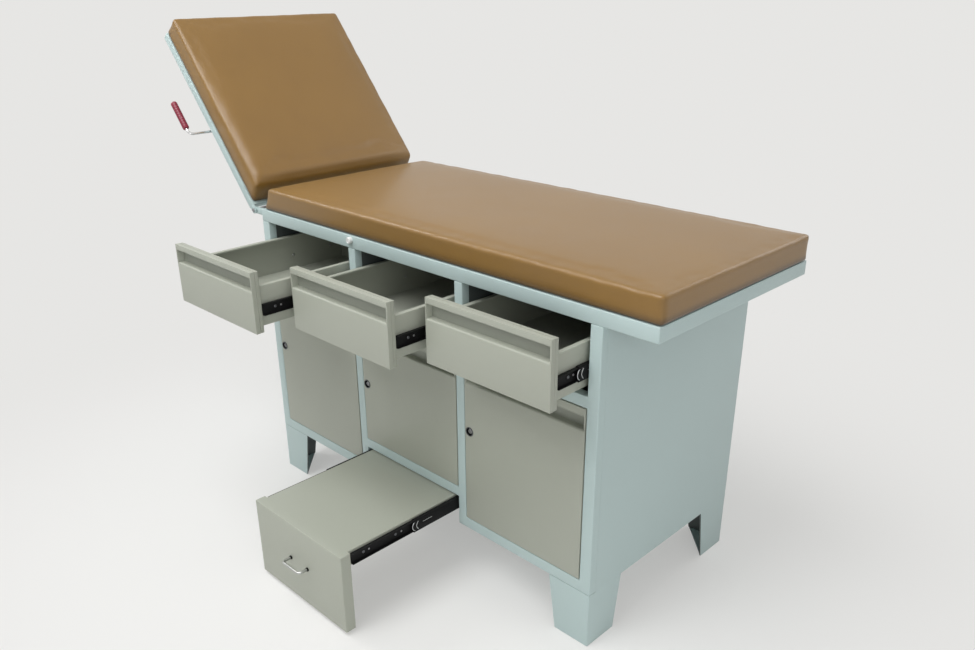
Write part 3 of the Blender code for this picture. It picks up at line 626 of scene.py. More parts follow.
def leatherette():
    cover = Finish("leatherette", Specular_IOR_Level=0.6, Sheen_Weight=0.04, Coat_Weight=0.22,
                   Coat_Roughness=0.16)
    drift = cover.noise(3.2, 3.0)
    worn = cover.noise(14.0, 4.0)
    pebble = cover.node("ShaderNodeTexVoronoi", {"feature": "DISTANCE_TO_EDGE"},
                        {"Vector": cover.place, "Scale": 620.0, "Randomness": 0.9})
    pore = cover.noise(2400.0, 2.0)
    grain = pebble * 1.7 + pore * 0.35
    tan = cover.blend(drift * 0.6 + worn * 0.3 + grain * 0.25, (0.178, 0.089, 0.011, 1.0),
                      (0.256, 0.136, 0.021, 1.0))
    # Painted shade: under the tucked lower edge the tan darkens to near black.
    tucked = cover.node("ShaderNodeAttribute", {"attribute_name": "tuck_painted_shade"}, out="Fac")
    cover.feed(Base_Color=cover.blend(tucked * 0.9, tan, (0.030, 0.016, 0.006, 1.0)))
    cover.feed(Roughness=worn * 0.08 - grain * 0.05 + 0.38)
    cover.relief(grain, 0.00022)
    return cover.data


leather = leatherette()


def stuffed_pad(name, long, wide, lean_low=0.0, lean_high=0.0, broad=0.0):
    """Upholstered pad drawn flat from its lower front left corner, then blown up as cloth. An end can
    lean in from its foot, and the front edge and the high end can have a broader round."""
    rise = CUSHION_EDGE
    soft = CUSHION_ROUND
    deselect()
    bpy.ops.mesh.primitive_grid_add(x_subdivisions=round(long / PAD_CELL),
                                    y_subdivisions=round(wide / PAD_CELL),
                                    size=1.0, location=(long / 2, wide / 2, rise))
    pad = shaped(name, (long - 2 * soft, wide - 2 * soft, 1.0))
    pick("EDGE", lambda e: e.is_boundary)
    rings = []
    for step in (1, 2, 3, 4):
        angle = step * pi / 8
        rings.append((soft - soft * sin(angle), rise - soft + soft * cos(angle)))
    side = rise - soft - TUCK
    rings += [(0.0, rise - soft - side * 0.25), (-SIDE_BOW, rise - soft - side * 0.5),
              (0.0, rise - soft - side * 0.75), (TUCK_INSET, TUCK)]
    for step in (1, 2, 3, 4):
        angle = step * pi / 8
        rings.append((TUCK_INSET + TUCK - TUCK * cos(angle), TUCK - TUCK * sin(angle)))
    rings.append((TUCK + UNDER_EDGE, 0.0))
    inset, level = soft, rise
    for next_inset, next_level in rings:
        flange(0.0, 0.0, next_level - level)
        bpy.ops.transform.resize(value=((long - 2 * next_inset) / (long - 2 * inset),
                                        (wide - 2 * next_inset) / (wide - 2 * inset), 1.0),
                                 center_override=(long / 2, wide / 2, 0.0))
        inset, level = next_inset, next_level

    face_outward()
    end_edit()

    def rounded_off(inset, depth, radius):
        """Bring a point near an edge back on to a round of this radius."""
        away = Vector((inset - radius, depth - radius))
        if inset < radius and depth < radius and away.length > radius:
            away.length = radius
            return away.x + radius, away.y + radius
        return inset, depth

    for v in pad.data.vertices:
        along = v.co.x / long
        across = v.co.y / wide
        inset = Vector(rounded_off(min(v.co.x, long - v.co.x), min(v.co.y, wide - v.co.y), CUSHION_CORNER))
        v.co.x = inset.x if along < 0.5 else long - inset.x
        v.co.y = inset.y if across < 0.5 else wide - inset.y
        if broad:
            inset, depth = rounded_off(v.co.y, rise - v.co.z, soft + (broad - soft) * along)
            v.co.y, v.co.z = inset, rise - depth
            inset, depth = rounded_off(long - v.co.x, rise - v.co.z, broad)
            v.co.x, v.co.z = long - inset, rise - depth
        v.co.x += v.co.z / rise * (lean_low * (1 - along) - lean_high * along)
    board = pad.vertex_groups.new(name="stapled")
    board.add([v.index for v in pad.data.vertices if v.co.z < TUCK * 0.7], 1.0, "REPLACE")
    before = [v.co.copy() for v in pad.data.vertices]
    make_current(pad)
    cloth = pad.modifiers.new("stuffing", "CLOTH")
    cover = dict(quality=6, mass=0.6, tension_stiffness=60.0, compression_stiffness=60.0,
                 shear_stiffness=30.0, bending_stiffness=4.0, use_pressure=True,
                 uniform_pressure_force=4.0, vertex_group_mass="stapled")
    for key, value in cover.items():
        setattr(cloth.settings, key, value)
    cloth.settings.effector_weights.gravity = 0.0
    cloth.point_cache.frame_start = 1
    cloth.point_cache.frame_end = STUFFING_FRAMES
    for moment in range(1, STUFFING_FRAMES + 1):
        bpy.context.scene.frame_set(moment)
    apply_modifiers(pad)
    bpy.context.scene.frame_set(1)
    for v, start in zip(pad.data.vertices, before):
        push = v.co - start
        share = max(0.0, 1 - ((start.x / long) * 2 - 1) ** 6)
        share *= max(0.0, 1 - ((start.y / wide) * 2 - 1) ** 6)
        if start.z > rise - 0.0005:
            swell = LEAST_SWELL * share
            limit = EDGE_SWELL + MOST_SWELL * share
            v.co = (start.x, start.y, start.z + min(max(push.z, swell), limit))
        else:
            share = min(1.0, (rise - start.z) / BULGE_DEPTH)
            v.co = start + share * Vector([max(-BULGE, min(BULGE, step)) for step in push])
        inset = min(start.x, long - start.x, start.y, wide - start.y)
        if start.z > rise * 0.4:
            v.co.z += PUCKER * noise.noise(start * PUCKERS) * max(0.0, 1 - inset / PUCKER_REACH)
    # Painted shade: the cover darkens toward the foot of the pad, fading out at SHADE_HIGH above it.
    shade = pad.data.attributes.new("tuck_painted_shade", "FLOAT", "POINT")
    for v, start in zip(pad.data.vertices, before):
        shade.data[v.index].value = max(0.0, 1 - start.z / SHADE_HIGH)
    smooth = pad.modifiers.new("smooth", "SUBSURF")
    smooth.levels = 1
    smooth.render_levels = 1
    apply_modifiers(pad)
    start_edit()
    pick("EDGE", lambda e: e.is_boundary)
    bpy.ops.mesh.edge_face_add()
    end_edit()
    return pad


low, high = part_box("seat_cushion")
seat = stuffed_pad("seat_pad", high[0] - low[0], high[1] - low[1], lean_low=HINGE_END_LEAN)
move_to(seat, low)
settle(seat, leather, "cabinet", "leatherette", "seat_cushion")

# Backrest frame: a shallow pan like the fixed top, with a lug each side on the hinge rod, two tabs
# that carry the release lever's shaft and a lug for the gas spring. It leans back at rest.
BACK_ANGLE = radians(50)
BACK_LENGTH = 0.552
BACK_GAP = 0.012
BACK_BAND = 0.022
LEVER_BACK = 0.257
LEVER_DROP = 0.019
LEVER_TAB_IN = 0.030
LEVER_TAB_HALF = 0.014
LEVER_TAB_DROP = 0.010
LEVER_TAB = 0.004
TAB_ROUND = 0.008
INNER_TAB = 0.027
BACK_LUG = 0.060
WELD_GAP = 0.001
HINGE_DROP = 0.010
hinge_place = (hinge.x, front_y, hinge.z)
leaning = (0.0, BACK_ANGLE, 0.0)

back_pan = folded_sheet("backrest_pan", BACK_LENGTH - BACK_GAP, depth, BACK_BAND, lip=TOP_LIP)
move_to(back_pan, (-BACK_LENGTH, 0.0, HINGE_DROP))
welded = []
for y in (SEAM, depth - EAR - SEAM):
    welded.append(block("hinge_lug", (-BACK_LUG, y, -EAR_HALF), (EAR_HALF, y + EAR, EAR_HALF),
                        lambda e: along_y(e) and middle_of(e).x > 0.0, EAR_HALF * NEARLY_ROUND))
inner_y = depth / 2 - INNER_TAB
for y in (LEVER_TAB_IN, inner_y):
    welded.append(block("lever_tab", (-LEVER_BACK - LEVER_TAB_HALF, y, -LEVER_DROP - LEVER_TAB_DROP),
                        (-LEVER_BACK + LEVER_TAB_HALF, y + LEVER_TAB, HINGE_DROP - WELD_GAP),
                        lambda e: along_y(e) and middle_of(e).z < -LEVER_DROP, TAB_ROUND))
head = Vector(joints["gas_spring_head_pin"]["pos_m"]) - Vector(hinge_place)
head_x = head.x * cos(BACK_ANGLE) - head.z * sin(BACK_ANGLE)
head_z = head.x * sin(BACK_ANGLE) + head.z * cos(BACK_ANGLE)
rod_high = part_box("gas_spring_rod")[1][1] - front_y
rod_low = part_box("gas_spring_rod")[0][1] - front_y
welded.append(block("gas_spring_head_lug", (head_x - LUG_HALF, rod_high + SEAM, head_z - LUG_HALF),
                    (head_x + LUG_HALF, rod_high + SEAM + LUG_GAUGE, HINGE_DROP - WELD_GAP),
                    lambda e: along_y(e) and middle_of(e).z < head_z, LUG_HALF * NEARLY_ROUND))
bolt = pin("gas_spring_head_bolt", "Y", rod_low, rod_high + GAS_PIN_REACH, GAS_PIN)
move_to(bolt, (head_x, 0.0, head_z))
unite(back_pan, bolt, *welded)
move_to(back_pan, hinge_place, leaning)
settle(back_pan, cabinet_paint, "backrest", "carcass_paint", "backrest_frame")

# Backrest cushion: foam on a board under the same leatherette as the seat's, a little longer than its
# pan at the head end, with a broader round along the front edge and at the hinge.
CUSHION_OVERLAP = 0.003
BACK_CUSHION_GAP = 0.014
BROAD_ROUND = 0.022
back_pad = stuffed_pad("backrest_pad", BACK_LENGTH + CUSHION_OVERLAP - BACK_CUSHION_GAP, depth,
                       lean_high=HINGE_END_LEAN, broad=BROAD_ROUND)
move_to(back_pad, (-BACK_LENGTH - CUSHION_OVERLAP, 0.0, HINGE_DROP + SEAM))
move_to(back_pad, hinge_place, leaning)
settle(back_pad, leather, "backrest", "leatherette", "backrest_cushion")

# Release lever: a chromed rod bent at a right angle, with a short flat finger welded to its inner
# end, turning in the two tabs under the backrest.
LEVER_OUT = 0.060
LEVER_BEND = 0.012
LEVER_ARM = 0.092
LEVER_ROD = 0.0035
SHAFT_END = 0.004
FINGER = 0.0037
FINGER_HALF = 0.0045
FINGER_BACK = 0.007
FINGER_FRONT = 0.021
FINGER_ROUND = 0.0035
chrome = bare_metal("chrome", (0.80, 0.80, 0.81, 1.0), 0.10, (2.0, 2.0, 2.0))


def bent_bar(name, points, radius):
    """Round bar along a path, turned into a mesh with closed ends."""
    curve = bpy.data.curves.new(name, "CURVE")
    curve.dimensions = "3D"
    curve.bevel_depth = radius
    curve.bevel_resolution = 5
    curve.use_fill_caps = True
    spline = curve.splines.new("POLY")
    spline.points.add(len(points) - 1)
    for point, place in zip(spline.points, points):
        point.co = (*place, 1.0)
    bar = bpy.data.objects.new(name, curve)
    bpy.context.scene.collection.objects.link(bar)
    make_current(bar)
    bpy.ops.object.convert(target="MESH")
    bar = bpy.context.object
    start_edit()
    select_all()
    bpy.ops.mesh.remove_doubles(threshold=0.00001)
    bpy.ops.mesh.normals_make_consistent(inside=False)
    end_edit()
    return bar


finger_y = inner_y + LEVER_TAB + SEAM
path = [(0.0, finger_y + SHAFT_END, 0.0)]
for step in range(9):
    angle = -step * pi / 16
    path.append((-LEVER_BEND + LEVER_BEND * cos(angle),
                 -LEVER_OUT + LEVER_BEND + LEVER_BEND * sin(angle), 0.0))
path.append((-LEVER_ARM, -LEVER_OUT, 0.0))
lever = bent_bar("release_lever_rod", path, LEVER_ROD)
finger = block("lever_finger", (-FINGER_BACK, finger_y, -FINGER_HALF),
               (FINGER_FRONT, finger_y + FINGER, FINGER_HALF), along_y, FINGER_ROUND)
unite(lever, finger)
move_to(lever, (-LEVER_BACK, 0.0, -LEVER_DROP))
move_to(lever, hinge_place, leaning)
settle(lever, chrome, "lever", "bright_metal", "release_lever")

# Lever grip: a sleeve of dark red plastic, moulded with a rounded end and shallow rings for the
# fingers, and pushed on to the lever's arm.
GRIP_RADIUS = 0.0085
GRIP_START = 0.017
GRIP_LENGTH = 0.083
GRIP_RINGS = 9
RING_START = 0.011
RING_PITCH = 0.0072


def scuffed(name, specular, dark, light, roughness, *scuffs):
    """Plastic or enamel with faint scuffs; its roughness is a least value and a spread."""
    surface = Finish(name, Specular_IOR_Level=specular)
    scuff = surface.noise(*scuffs)
    surface.feed(Base_Color=surface.blend(scuff, dark, light))
    surface.feed(Roughness=scuff * roughness[1] + roughness[0])
    return surface.data


red = scuffed("red_plastic", 0.5, (0.185, 0.012, 0.030, 1.0), (0.250, 0.022, 0.048, 1.0), (0.28, 0.16),
              70.0, 3.0)
profile = [(GRIP_RADIUS * 0.72, 0.0), (GRIP_RADIUS * 0.9, 0.0008), (GRIP_RADIUS, 0.0026)]
for ring in range(GRIP_RINGS):
    level = RING_START + ring * RING_PITCH
    profile += [(GRIP_RADIUS, level), (GRIP_RADIUS * 0.93, level + 0.0008),
                (GRIP_RADIUS * 0.93, level + 0.0016), (GRIP_RADIUS, level + 0.0024)]
profile += [(GRIP_RADIUS, GRIP_LENGTH - 0.005), (GRIP_RADIUS * 0.86, GRIP_LENGTH - 0.0022),
            (GRIP_RADIUS * 0.55, GRIP_LENGTH - 0.0004), (GRIP_RADIUS * 0.3, GRIP_LENGTH)]
grip = lathe("lever_grip_sleeve", profile, 32)
move_to(grip, (-GRIP_START, -LEVER_OUT, 0.0), (0.0, -pi / 2, 0.0))
move_to(grip, (-LEVER_BACK, 0.0, -LEVER_DROP))
move_to(grip, hinge_place, leaning)
settle(grip, red, "lever", "grip_plastic", "lever_grip")

# Gas spring: a black cylinder pinned to the cabinet and a bright rod pinned to the backrest, each
# with a cross-drilled eye at its end and a guide collar where the rod goes in.
GAS_TUBE = 0.011
GAS_ROD = 0.005
GAS_EYE = 0.008
TUBE_EYE_HALF = 0.013
ROD_EYE_HALF = 0.010
TUBE_LENGTH = 0.240
ROD_LENGTH = 0.250
black = scuffed("black_enamel", 0.14, (0.004, 0.004, 0.004, 1.0), (0.012, 0.012, 0.013, 1.0),
                (0.42, 0.18), 60.0, 3.0, (1.0, 0.25, 1.0))

head = Vector(joints["gas_spring_head_pin"]["pos_m"])
lean = (0.0, atan2(head.x - foot.x, head.z - foot.z), 0.0)


def eye(name, half):
    piece = lathe(name, [(GAS_EYE - 0.0006, -half), (GAS_EYE, -half + 0.0006), (GAS_EYE, half - 0.0006),
                         (GAS_EYE - 0.0006, half)])
    move_to(piece, turn=(pi / 2, 0.0, 0.0))
    return piece


tube = lathe("gas_spring_tube", [(GAS_TUBE * 0.62, 0.006), (GAS_TUBE * 0.92, 0.010), (GAS_TUBE, 0.014),
                                 (GAS_TUBE, TUBE_LENGTH - 0.012), (GAS_TUBE * 0.93, TUBE_LENGTH - 0.010),
                                 (GAS_TUBE * 0.93, TUBE_LENGTH - 0.008), (GAS_TUBE, TUBE_LENGTH - 0.006),
                                 (GAS_TUBE, TUBE_LENGTH - 0.002), (GAS_TUBE * 0.82, TUBE_LENGTH),
                                 (GAS_ROD + 0.0008, TUBE_LENGTH), (GAS_ROD + 0.0008, TUBE_LENGTH - 0.004)])
unite(tube, eye("tube_eye", TUBE_EYE_HALF))
move_to(tube, foot, lean)
settle(tube, black, "gas_cylinder", "slide_black", "gas_spring_cylinder")
stem = lathe("gas_spring_stem", [(GAS_ROD, -ROD_LENGTH), (GAS_ROD, -0.016), (GAS_ROD * 1.35, -0.015),
                                 (GAS_ROD * 1.35, -0.009), (GAS_ROD, -0.006)])
unite(stem, eye("stem_eye", ROD_EYE_HALF))
move_to(stem, head, lean)
settle(stem, chrome, "gas_rod", "bright_metal", "gas_spring_rod")

# Drawer fronts: an outer skin with a finger recess pressed in under its top lip, closed behind by a
# shallow inner skin, so that a seam shows along the edges. Painted a warm grey of their own.
RECESS_END = 0.003
RECESS_DEPTH = 0.0165
FRONT_DEPTH = 0.020
OUTER_FLANGE = 0.0104
OUTER_FOLD = 0.0024
INNER_FLANGE = 0.0090
INNER_FOLD = 0.0013
DRAWER_LIP = 0.013
DRAWER_RECESS = 0.032
front_paint = powder_coat("front_paint", (0.385, 0.403, 0.345, 1.0), (0.353, 0.370, 0.315, 1.0))
# Painted shade: the back wall of the finger recess takes this darker grey than the face.
recess_painted_shade = powder_coat("recess_painted_shade", (0.290, 0.308, 0.262, 1.0), (0.262, 0.279, 0.236, 1.0))


def double_front(name, wide, tall, lip, recess):
    """Two-skinned front drawn flat, face up, from its lower left corner."""
    hollow = (RECESS_END, tall - lip - recess, wide - RECESS_END, tall - lip, RECESS_DEPTH)
    outer = folded_sheet(name, wide, tall, OUTER_FLANGE, recess=hollow, fold=OUTER_FOLD)

    def in_recess(face):
        x, y, z = face.calc_center_median()
        return hollow[1] < y < hollow[3] + UNDERCUT and z < -0.003 and face.normal.z > 0.3

    # Painted shade: the recess's back wall takes the darker recess grey.
    coat(outer, front_paint, recess_painted_shade, in_recess)
    inner = folded_sheet(name + "_inner", wide, tall, INNER_FLANGE, fold=INNER_FOLD)
    move_to(inner, (0.0, tall, -FRONT_DEPTH), (pi, 0.0, 0.0))
    return unite(outer, inner)


def for_bay(bay, pattern, name, place, turn):
    """The pattern itself for the left bay, which comes last, and a copy for the others."""
    if bay == "left":
        move_to(pattern, place, turn)
        return pattern
    piece = copy_to(pattern, place, turn)
    piece.name = bay + name
    return piece


low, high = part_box("left_drawer_front")
front = double_front("left_drawer_skin", high[0] - low[0], high[2] - low[2], DRAWER_LIP, DRAWER_RECESS)
for bay in ("middle", "right", "left"):
    piece = for_bay(bay, front, "_drawer_skin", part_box(bay + "_drawer_front")[0], FACING_FRONT)
    settle(piece, front_paint, bay + "_drawer", "front_paint", bay + "_drawer_front")

# Drawer boxes: trays folded up from one sheet, the rim turned inward and hemmed down, screwed to the
# front from inside. The slides' screws show as small heads on the inner walls.
TRAY_RIM = 0.012
TRAY_HEM = 0.0045


def fasteners(name, heads, finish, body):
    heads[0].name = name
    settle(unite(*heads), finish, body, "steel")


low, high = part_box("left_drawer_box")
tray = folded_sheet("left_drawer_tray", high[0] - low[0], high[1] - low[1], high[2] - low[2],
                    lip=TRAY_RIM, hem=TRAY_HEM)
steel = bare_metal("zinc_steel", (0.60, 0.61, 0.62, 1.0), 0.24, (6.0, 0.4, 6.0))
TURNED_OVER = (pi, 0.0, 0.0)
head = lathe("screw_head", [(0.0036, 0.0), (0.0035, 0.0007), (0.0026, 0.0014), (0.0012, 0.0017)], 20)
SCREW_PLACES = (0.060, 0.300, 0.420)
slide_low, slide_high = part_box("left_drawer_left_drawer_member")
slide_z = (slide_low[2] + slide_high[2]) / 2
for bay in ("middle", "right", "left"):
    low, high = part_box(bay + "_drawer_box")
    piece = for_bay(bay, tray, "_drawer_tray", (low[0], high[1], low[2]), TURNED_OVER)
    settle(piece, front_paint, bay + "_drawer", "front_paint", bay + "_drawer_box")
    heads = []
    for from_front in SCREW_PLACES:
        for x, turn in ((low[0] + SHEET_GAUGE, pi / 2), (high[0] - SHEET_GAUGE, -pi / 2)):
            heads.append(copy_to(head, (x, low[1] + from_front, slide_z), (0.0, turn, 0.0)))
    fasteners(bay + "_drawer_screws", heads, steel, bay + "_drawer")

# Telescopic slides: three channels of black steel nested in one another on ball races, one on the
# cabinet, one between and one on the moving box. Bright cage ends show where the middle one stops.
SLIDE_GAUGE = 0.0013
SLIDE_FOLD = 0.0016
SLIDE_SCREWS = (0.034, 0.124, 0.345)
SLIDE_RIVETS = (0.049, 0.141)
CAGE_RADIUS = 0.0125
CAGE_ARC = 62
blued_steel = bare_metal("blued_steel", (0.15, 0.155, 0.165, 1.0), 0.28, (2.0, 2.0, 2.0))
WEB_RIGHT = (pi / 2, 0.0, pi / 2)
WEB_LEFT = (-pi / 2, 0.0, pi / 2)


def channel(name, node):
    """Channel the size of a node, drawn along X with its web facing up, centred on Y."""
    low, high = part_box(node)
    length, height, reach = high[1] - low[1], high[2] - low[2], high[0] - low[0]
    piece = blank(name, length, height, (length / 2, 0.0, 0.0))
    pick("EDGE", lambda e: abs(middle_of(e).y) > height * 0.4)
    flange(0.0, 0.0, -reach)
    bevel(is_fold, SLIDE_FOLD, 3)
    end_edit()
    thicken(piece, SLIDE_GAUGE)
    return piece


def cage_ends():
    """Bright rims of the ball cage and of the middle channel's stop, in the channel's own frame."""
    arc = []
    for step in range(13):
        angle = radians(-CAGE_ARC + step * CAGE_ARC / 6)
        arc.append((0.0085 - CAGE_RADIUS * cos(angle), CAGE_RADIUS * sin(angle), -0.0008))
    rim = bent_bar("cage_rim", arc, 0.0010)
    stop = bent_bar("cage_stop", [(0.0125, 0.0105, -0.0007), (0.0085, 0.0045, -0.0007),
                                  (0.0072, 0.0, -0.0007), (0.0085, -0.0045, -0.0007),
                                  (0.0125, -0.0105, -0.0007)], 0.0011)
    slot = bent_bar("cage_slot", [(0.026, 0.003, -0.0003), (0.054, 0.003, -0.0003)], 0.0008)
    return unite(rim, stop, slot)


def place_on(piece, node, web):
    """Lay a channel, or its cage ends, over a node whose web faces right or left."""
    low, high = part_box(node)
    x = high[0] if web == WEB_RIGHT else low[0]
    move_to(piece, (x, low[1], (low[2] + high[2]) / 2), web)
    return piece


def copied(piece, name):
    make_current(piece)
    bpy.ops.object.duplicate()
    bpy.context.object.name = name
    return bpy.context.object


rows = [(bay + "_drawer", "drawer") for bay in BAYS] + [("step", "step")]
patterns = {}
cage = cage_ends()
rivet = lathe("slide_rivet", [(0.0026, 0.0), (0.0025, 0.0005), (0.0018, 0.0010), (0.0008, 0.0012)], 16)
for row, moving in rows:
    if moving not in patterns:
        patterns[moving] = {part: channel(row + "_" + part, "_".join((row, "left", part, "member")))
                            for part in ("cabinet", "intermediate", moving)}
    bodies = {"cabinet": "cabinet", "intermediate": row + "_runners", moving: row}
    for side in ("left", "right"):
        for part, body in bodies.items():
            node = "_".join((row, side, part, "member"))
            faces_box = part == moving
            web = WEB_RIGHT if faces_box == (side == "left") else WEB_LEFT
            piece = copied(patterns[moving][part], "_".join((row, side, part, "channel")))
            place_on(piece, node, web)
            settle(piece, black, body, "slide_black", node)
            if part == "intermediate":
                rims = place_on(copied(cage, "_".join((row, side, "cage_ends"))), node, web)
                settle(rims, steel, body, "steel")
            if part == moving:
                low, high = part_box(node)
                x = high[0] - SLIDE_GAUGE if web == WEB_RIGHT else low[0] + SLIDE_GAUGE
                turn = (0.0, -pi / 2, 0.0) if web == WEB_RIGHT else (0.0, pi / 2, 0.0)
                z = (low[2] + high[2]) / 2
                screws = [copy_to(head, (x, low[1] + y, z), turn) for y in SLIDE_SCREWS]
                fasteners("_".join((row, side, "slide_screws")), screws, blued_steel, body)
                rivets = [copy_to(rivet, (x, low[1] + y, z), turn) for y in SLIDE_RIVETS]
                fasteners("_".join((row, side, "slide_rivets")), rivets, dull_zinc, body)
for spare in [head, rivet, cage] + [piece for parts in patterns.values() for piece in parts.values()]:
    bpy.data.objects.remove(spare)

# Drawer lock: a white moulded push button in the top band, over the first inner post. It slides
# through the band, and its face is slightly hollowed for the thumb.
white = scuffed("white_plastic", 0.5, (0.70, 0.72, 0.71, 1.0), (0.82, 0.83, 0.82, 1.0), (0.25, 0.10),
                90.0, 2.0)
low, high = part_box("drawer_lock_button")
button = lathe("lock_button", [(0.0080, -0.0130), (0.0080, 0.0062), (0.0077, 0.0076), (0.0068, 0.0086),
                               (0.0050, 0.0090), (0.0044, 0.0084), (0.0020, 0.0082)])
move_to(button, ((low[0] + high[0]) / 2, front_y, (low[2] + high[2]) / 2), FACING_FRONT)
settle(button, white, "drawer_lock", "white_plastic", "drawer_lock_button")

# Footstep: one sheet bent over from the plain front panel into a deep tread, whose edges are folded
# down between a pair of slides; the panel's short top corners stand out past the tread.
low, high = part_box("step_front")
tread_low, tread_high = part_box("step_tread")
wide, tall, back = high[0] - low[0], high[2] - low[2], high[1] - low[1]
tread_from, tread_to = tread_low[0] - low[0], tread_high[0] - low[0]
tread_deep = tread_high[1] - low[1]
skirt = high[2] - tread_low[2]
panel = blank("step_sheet", wide, tall, (wide / 2, tall / 2, 0.0))
for line in (tread_from, tread_to):
    cut((line, 0.0, 0.0), (1.0, 0.0, 0.0))
pick("EDGE", lambda e: e.is_boundary)
flange(0.0, 0.0, -back)
pick("EDGE", lambda e: e.is_boundary and middle_of(e).y > tall - 0.001
     and tread_from < middle_of(e).x < tread_to)
flange(0.0, 0.0, back - tread_deep)
pick("EDGE", lambda e: e.is_boundary and middle_of(e).z < -back - 0.001)
flange(0.0, -skirt, 0.0)
face_outward()
bevel(is_fold, FOLD_RADIUS, 3)
end_edit()
thicken(panel, SHEET_GAUGE)
move_to(panel, low, FACING_FRONT)
settle(panel, front_paint, "step", "front_paint", "step_tread", "step_front")

# Step handle: a bow of satin nickel wire, bent at both ends toward the step's front panel and riveted
# through it in two black ferrules.
HANDLE_HALF = 0.032
HANDLE_STAND = 0.024
HANDLE_BEND = 0.009
HANDLE_ROD = 0.0032
satin_nickel = bare_metal("satin_nickel", (0.46, 0.47, 0.455, 1.0), 0.24, (2.0, 2.0, 2.0))
low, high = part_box("step_handle")
centre = ((low[0] + high[0]) / 2, high[1], (low[2] + high[2]) / 2)
path = [(-HANDLE_HALF, 0.0, 0.0)]
for middle_x, start in ((HANDLE_BEND - HANDLE_HALF, pi), (HANDLE_HALF - HANDLE_BEND, 1.5 * pi)):
    for step in range(7):
        angle = start + step * pi / 12
        path.append((middle_x + HANDLE_BEND * cos(angle),
                     HANDLE_BEND - HANDLE_STAND + HANDLE_BEND * sin(angle), 0.0))
path.append((HANDLE_HALF, 0.0, 0.0))
handle = bent_bar("step_bow_handle", path, HANDLE_ROD)
feet = []
for x in (-HANDLE_HALF, HANDLE_HALF):
    washer = lathe("handle_ferrules", [(0.0046, 0.0), (0.0046, 0.0024), (0.0040, 0.0032),
                                       (0.0034, 0.0032)], 24)
    move_to(washer, (x, 0.0, 0.0), FACING_FRONT)
    feet.append(washer)
move_to(handle, centre)
settle(handle, satin_nickel, "step", "bright_metal", "step_handle")
ferrules = unite(*feet)
move_to(ferrules, centre)
settle(ferrules, black, "step", "slide_black")

# Doors: two skins of sheet made like the drawer fronts, with the same finger recess and paint. Each
# is hung at its right edge on two steel pins let into the face frame.
DOOR_LIP = 0.017
DOOR_RECESS = 0.030
DOOR_PIN = 0.003
PIN_SUNK = 0.001
LOCK_HOLE = 0.0093
DRILL_LENGTH = 0.06

for bay in BAYS:
    low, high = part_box(bay + "_door")
    bottom, top_edge = low[2] + PIN_REACH, high[2] - PIN_REACH
    door = double_front(bay + "_door_skin", high[0] - low[0], top_edge - bottom, DOOR_LIP, DOOR_RECESS)
    move_to(door, (low[0], low[1], bottom), FACING_FRONT)
    lock = Vector(joints[bay + "_door_lock_turn"]["pos_m"])
    bpy.ops.mesh.primitive_cylinder_add(vertices=32, radius=LOCK_HOLE, depth=DRILL_LENGTH, location=lock,
                                        rotation=FACING_FRONT)
    drill = bpy.context.object
    bore = door.modifiers.new("lock_hole", "BOOLEAN")
    bore.object = drill
    bore.solver = "EXACT"
    apply_modifiers(door)
    bpy.data.objects.remove(drill)
    settle(door, front_paint, bay + "_door", "front_paint", bay + "_door")
    axis = Vector(joints[bay + "_door_hinge"]["pos_m"])
    pins = []
    for z0, z1 in ((low[2], bottom + PIN_SUNK), (top_edge - PIN_SUNK, high[2])):
        pins.append(pin(bay + "_door_pins", "Z", z0, z1, DOOR_PIN))
        move_to(pins[-1], (axis.x, axis.y, 0.0))
    settle(unite(*pins), steel, bay + "_door", "steel")

# Door locks: dark nickel cam locks with a rim that stands a little proud, a sunken face with the
# key plug in it, and a flat cam on the barrel's inner end that swings behind the post.
LOCK_RIM = 0.0110
LOCK_BARREL = 0.0090
LOCK_SUNK = 0.0052
BARREL_DEPTH = 0.0242
KEY_PLUG = 0.0056
KEY_SLOT_HALF = 0.0006
KEY_SLOT_REACH = 0.0036
KEY_SLOT_FROM = 0.0006
KEY_SLOT_TO = 0.0020
CAM_HALF = 0.006
CAM_LENGTH = 0.026
CAM_FROM = 0.0222
CAM_TO = 0.0240
CAM_ROUND = 0.004

for bay in BAYS:
    lock = Vector(joints[bay + "_door_lock_turn"]["pos_m"])
    barrel = lathe(bay + "_lock_barrel", [(LOCK_BARREL, -BARREL_DEPTH), (LOCK_BARREL, -SEAM),
                                          (LOCK_RIM, -SEAM), (LOCK_RIM, 0.0016),
                                          (LOCK_RIM - 0.0006, 0.0022), (0.0096, 0.0022),
                                          (0.0090, 0.0016), (0.0086, -LOCK_SUNK)])
    # Painted shade: the wall and floor of the sunken face are coated black for the shade inside it.
    coat(barrel, blued_steel, black,
         lambda f: f.calc_center_median().xy.length < 0.0089 and -0.006 < f.calc_center_median().z < 0.0015)
    move_to(barrel, lock, FACING_FRONT)
    cam = block(bay + "_lock_cam", (lock.x - CAM_HALF, lock.y + CAM_FROM, lock.z - CAM_LENGTH),
                (lock.x + CAM_HALF, lock.y + CAM_TO, lock.z + CAM_HALF), along_y, CAM_ROUND)
    settle(unite(barrel, cam), blued_steel, bay + "_door_lock", "bright_metal", bay + "_door_lock")
    plug = lathe(bay + "_key_plug", [(KEY_PLUG, -LOCK_SUNK - 0.0005), (KEY_PLUG, -0.0016),
                                     (KEY_PLUG - 0.0008, -0.0008), (0.0012, -0.0008)])
    move_to(plug, lock, FACING_FRONT)
    settle(plug, dull_zinc, bay + "_door_lock", "steel")
    slit = block(bay + "_key_slot",
                 (lock.x - KEY_SLOT_HALF, lock.y + KEY_SLOT_FROM, lock.z - KEY_SLOT_REACH),
                 (lock.x + KEY_SLOT_HALF, lock.y + KEY_SLOT_TO, lock.z + KEY_SLOT_REACH), soften=0.0001)
    settle(slit, black, bay + "_door_lock", "slide_black")

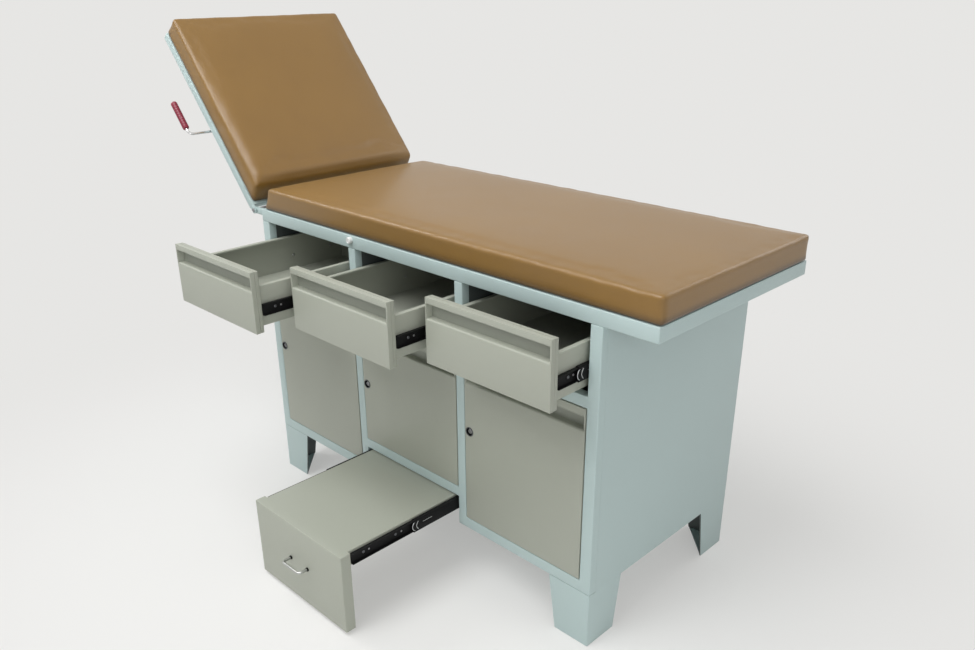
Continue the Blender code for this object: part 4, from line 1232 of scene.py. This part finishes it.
# Stage: a pale floor that keeps the table's shadow and runs out into an even pale background, soft
# light from above and all round, and the camera where the photograph was taken.
bpy.ops.mesh.primitive_plane_add(size=400.0, location=(0.5, 0.2, 0.0))
floor = bpy.context.object
floor.name = "studio_floor"
ground = Finish("studio_floor", Roughness=0.9, Specular_IOR_Level=0.0, Emission_Strength=1.0)
away = ground.node("ShaderNodeVectorMath", {"operation": "LENGTH"}, {0: ground.place}, out="Value")
far_off = ground.node("ShaderNodeMapRange", {"interpolation_type": "SMOOTHSTEP"},
                      {"Value": away, "From Min": 0.55, "From Max": 1.9, "To Min": 0.45})


def direct(finish):
    """1 for what the camera sees straight, mirrored or through glass, 0 for other light."""
    seen = finish.node("ShaderNodeLightPath", out="Is Camera Ray")
    for ray in ("Is Glossy Ray", "Is Transmission Ray"):
        seen = seen + finish.node("ShaderNodeLightPath", out=ray)
    return seen


seen = direct(ground)
ground.feed(Base_Color=ground.blend(far_off * seen, (0.86, 0.86, 0.85, 1.0), (0.0, 0.0, 0.0, 1.0)))
ground.feed(Emission_Color=ground.blend(far_off * seen, (0.0, 0.0, 0.0, 1.0), (0.795, 0.79, 0.775, 1.0)))
floor.data.materials.append(ground.data)


def soft_box(name, place, target, size, power):
    bpy.ops.object.light_add(type="AREA", location=place)
    lamp = bpy.context.object
    lamp.name = name
    lamp.data.shape = "DISK"
    lamp.data.size = size
    lamp.data.energy = power
    lamp.rotation_euler = (Vector(target) - Vector(place)).to_track_quat("-Z", "Y").to_euler()


soft_box("overhead_light", (0.4, -1.2, 3.4), (0.5, 0.1, 0.4), 2.2, 64.0)
soft_box("front_light", (0.20, -2.6, 3.2), (0.2, 0.2, 0.7), 1.3, 22.0)
soft_box("left_light", (-2.1, -0.9, 2.8), (0.4, 0.0, 0.6), 0.9, 22.0)
soft_box("side_light", (3.4, -1.4, 1.3), (0.9, 0.1, 0.5), 1.8, 18.5)
soft_box("back_light", (1.5, 3.0, 2.3), (0.4, 0.3, 0.6), 1.8, 14.0)
sky = Finish("studio", "worlds", "Background", Color=(1.0, 0.994, 0.975, 1.0))
sky.feed(Strength=sky.node("ShaderNodeMapRange", sockets={"Value": direct(sky), "To Min": 0.38,
                                                          "To Max": 0.795}))
bpy.context.scene.world = sky.data

bpy.ops.object.camera_add(location=(1.9809, -1.2225, 1.3143), rotation=(1.1546, 0.0073, 0.7791))
camera = bpy.context.object
camera.name = "photo_camera"
camera.data.lens = 32.33
camera.data.sensor_width = 36.0
camera.data.shift_x = 0.0038
camera.data.shift_y = 0.0415
bpy.context.scene.camera = camera
bpy.context.scene.view_settings.view_transform = "Standard"
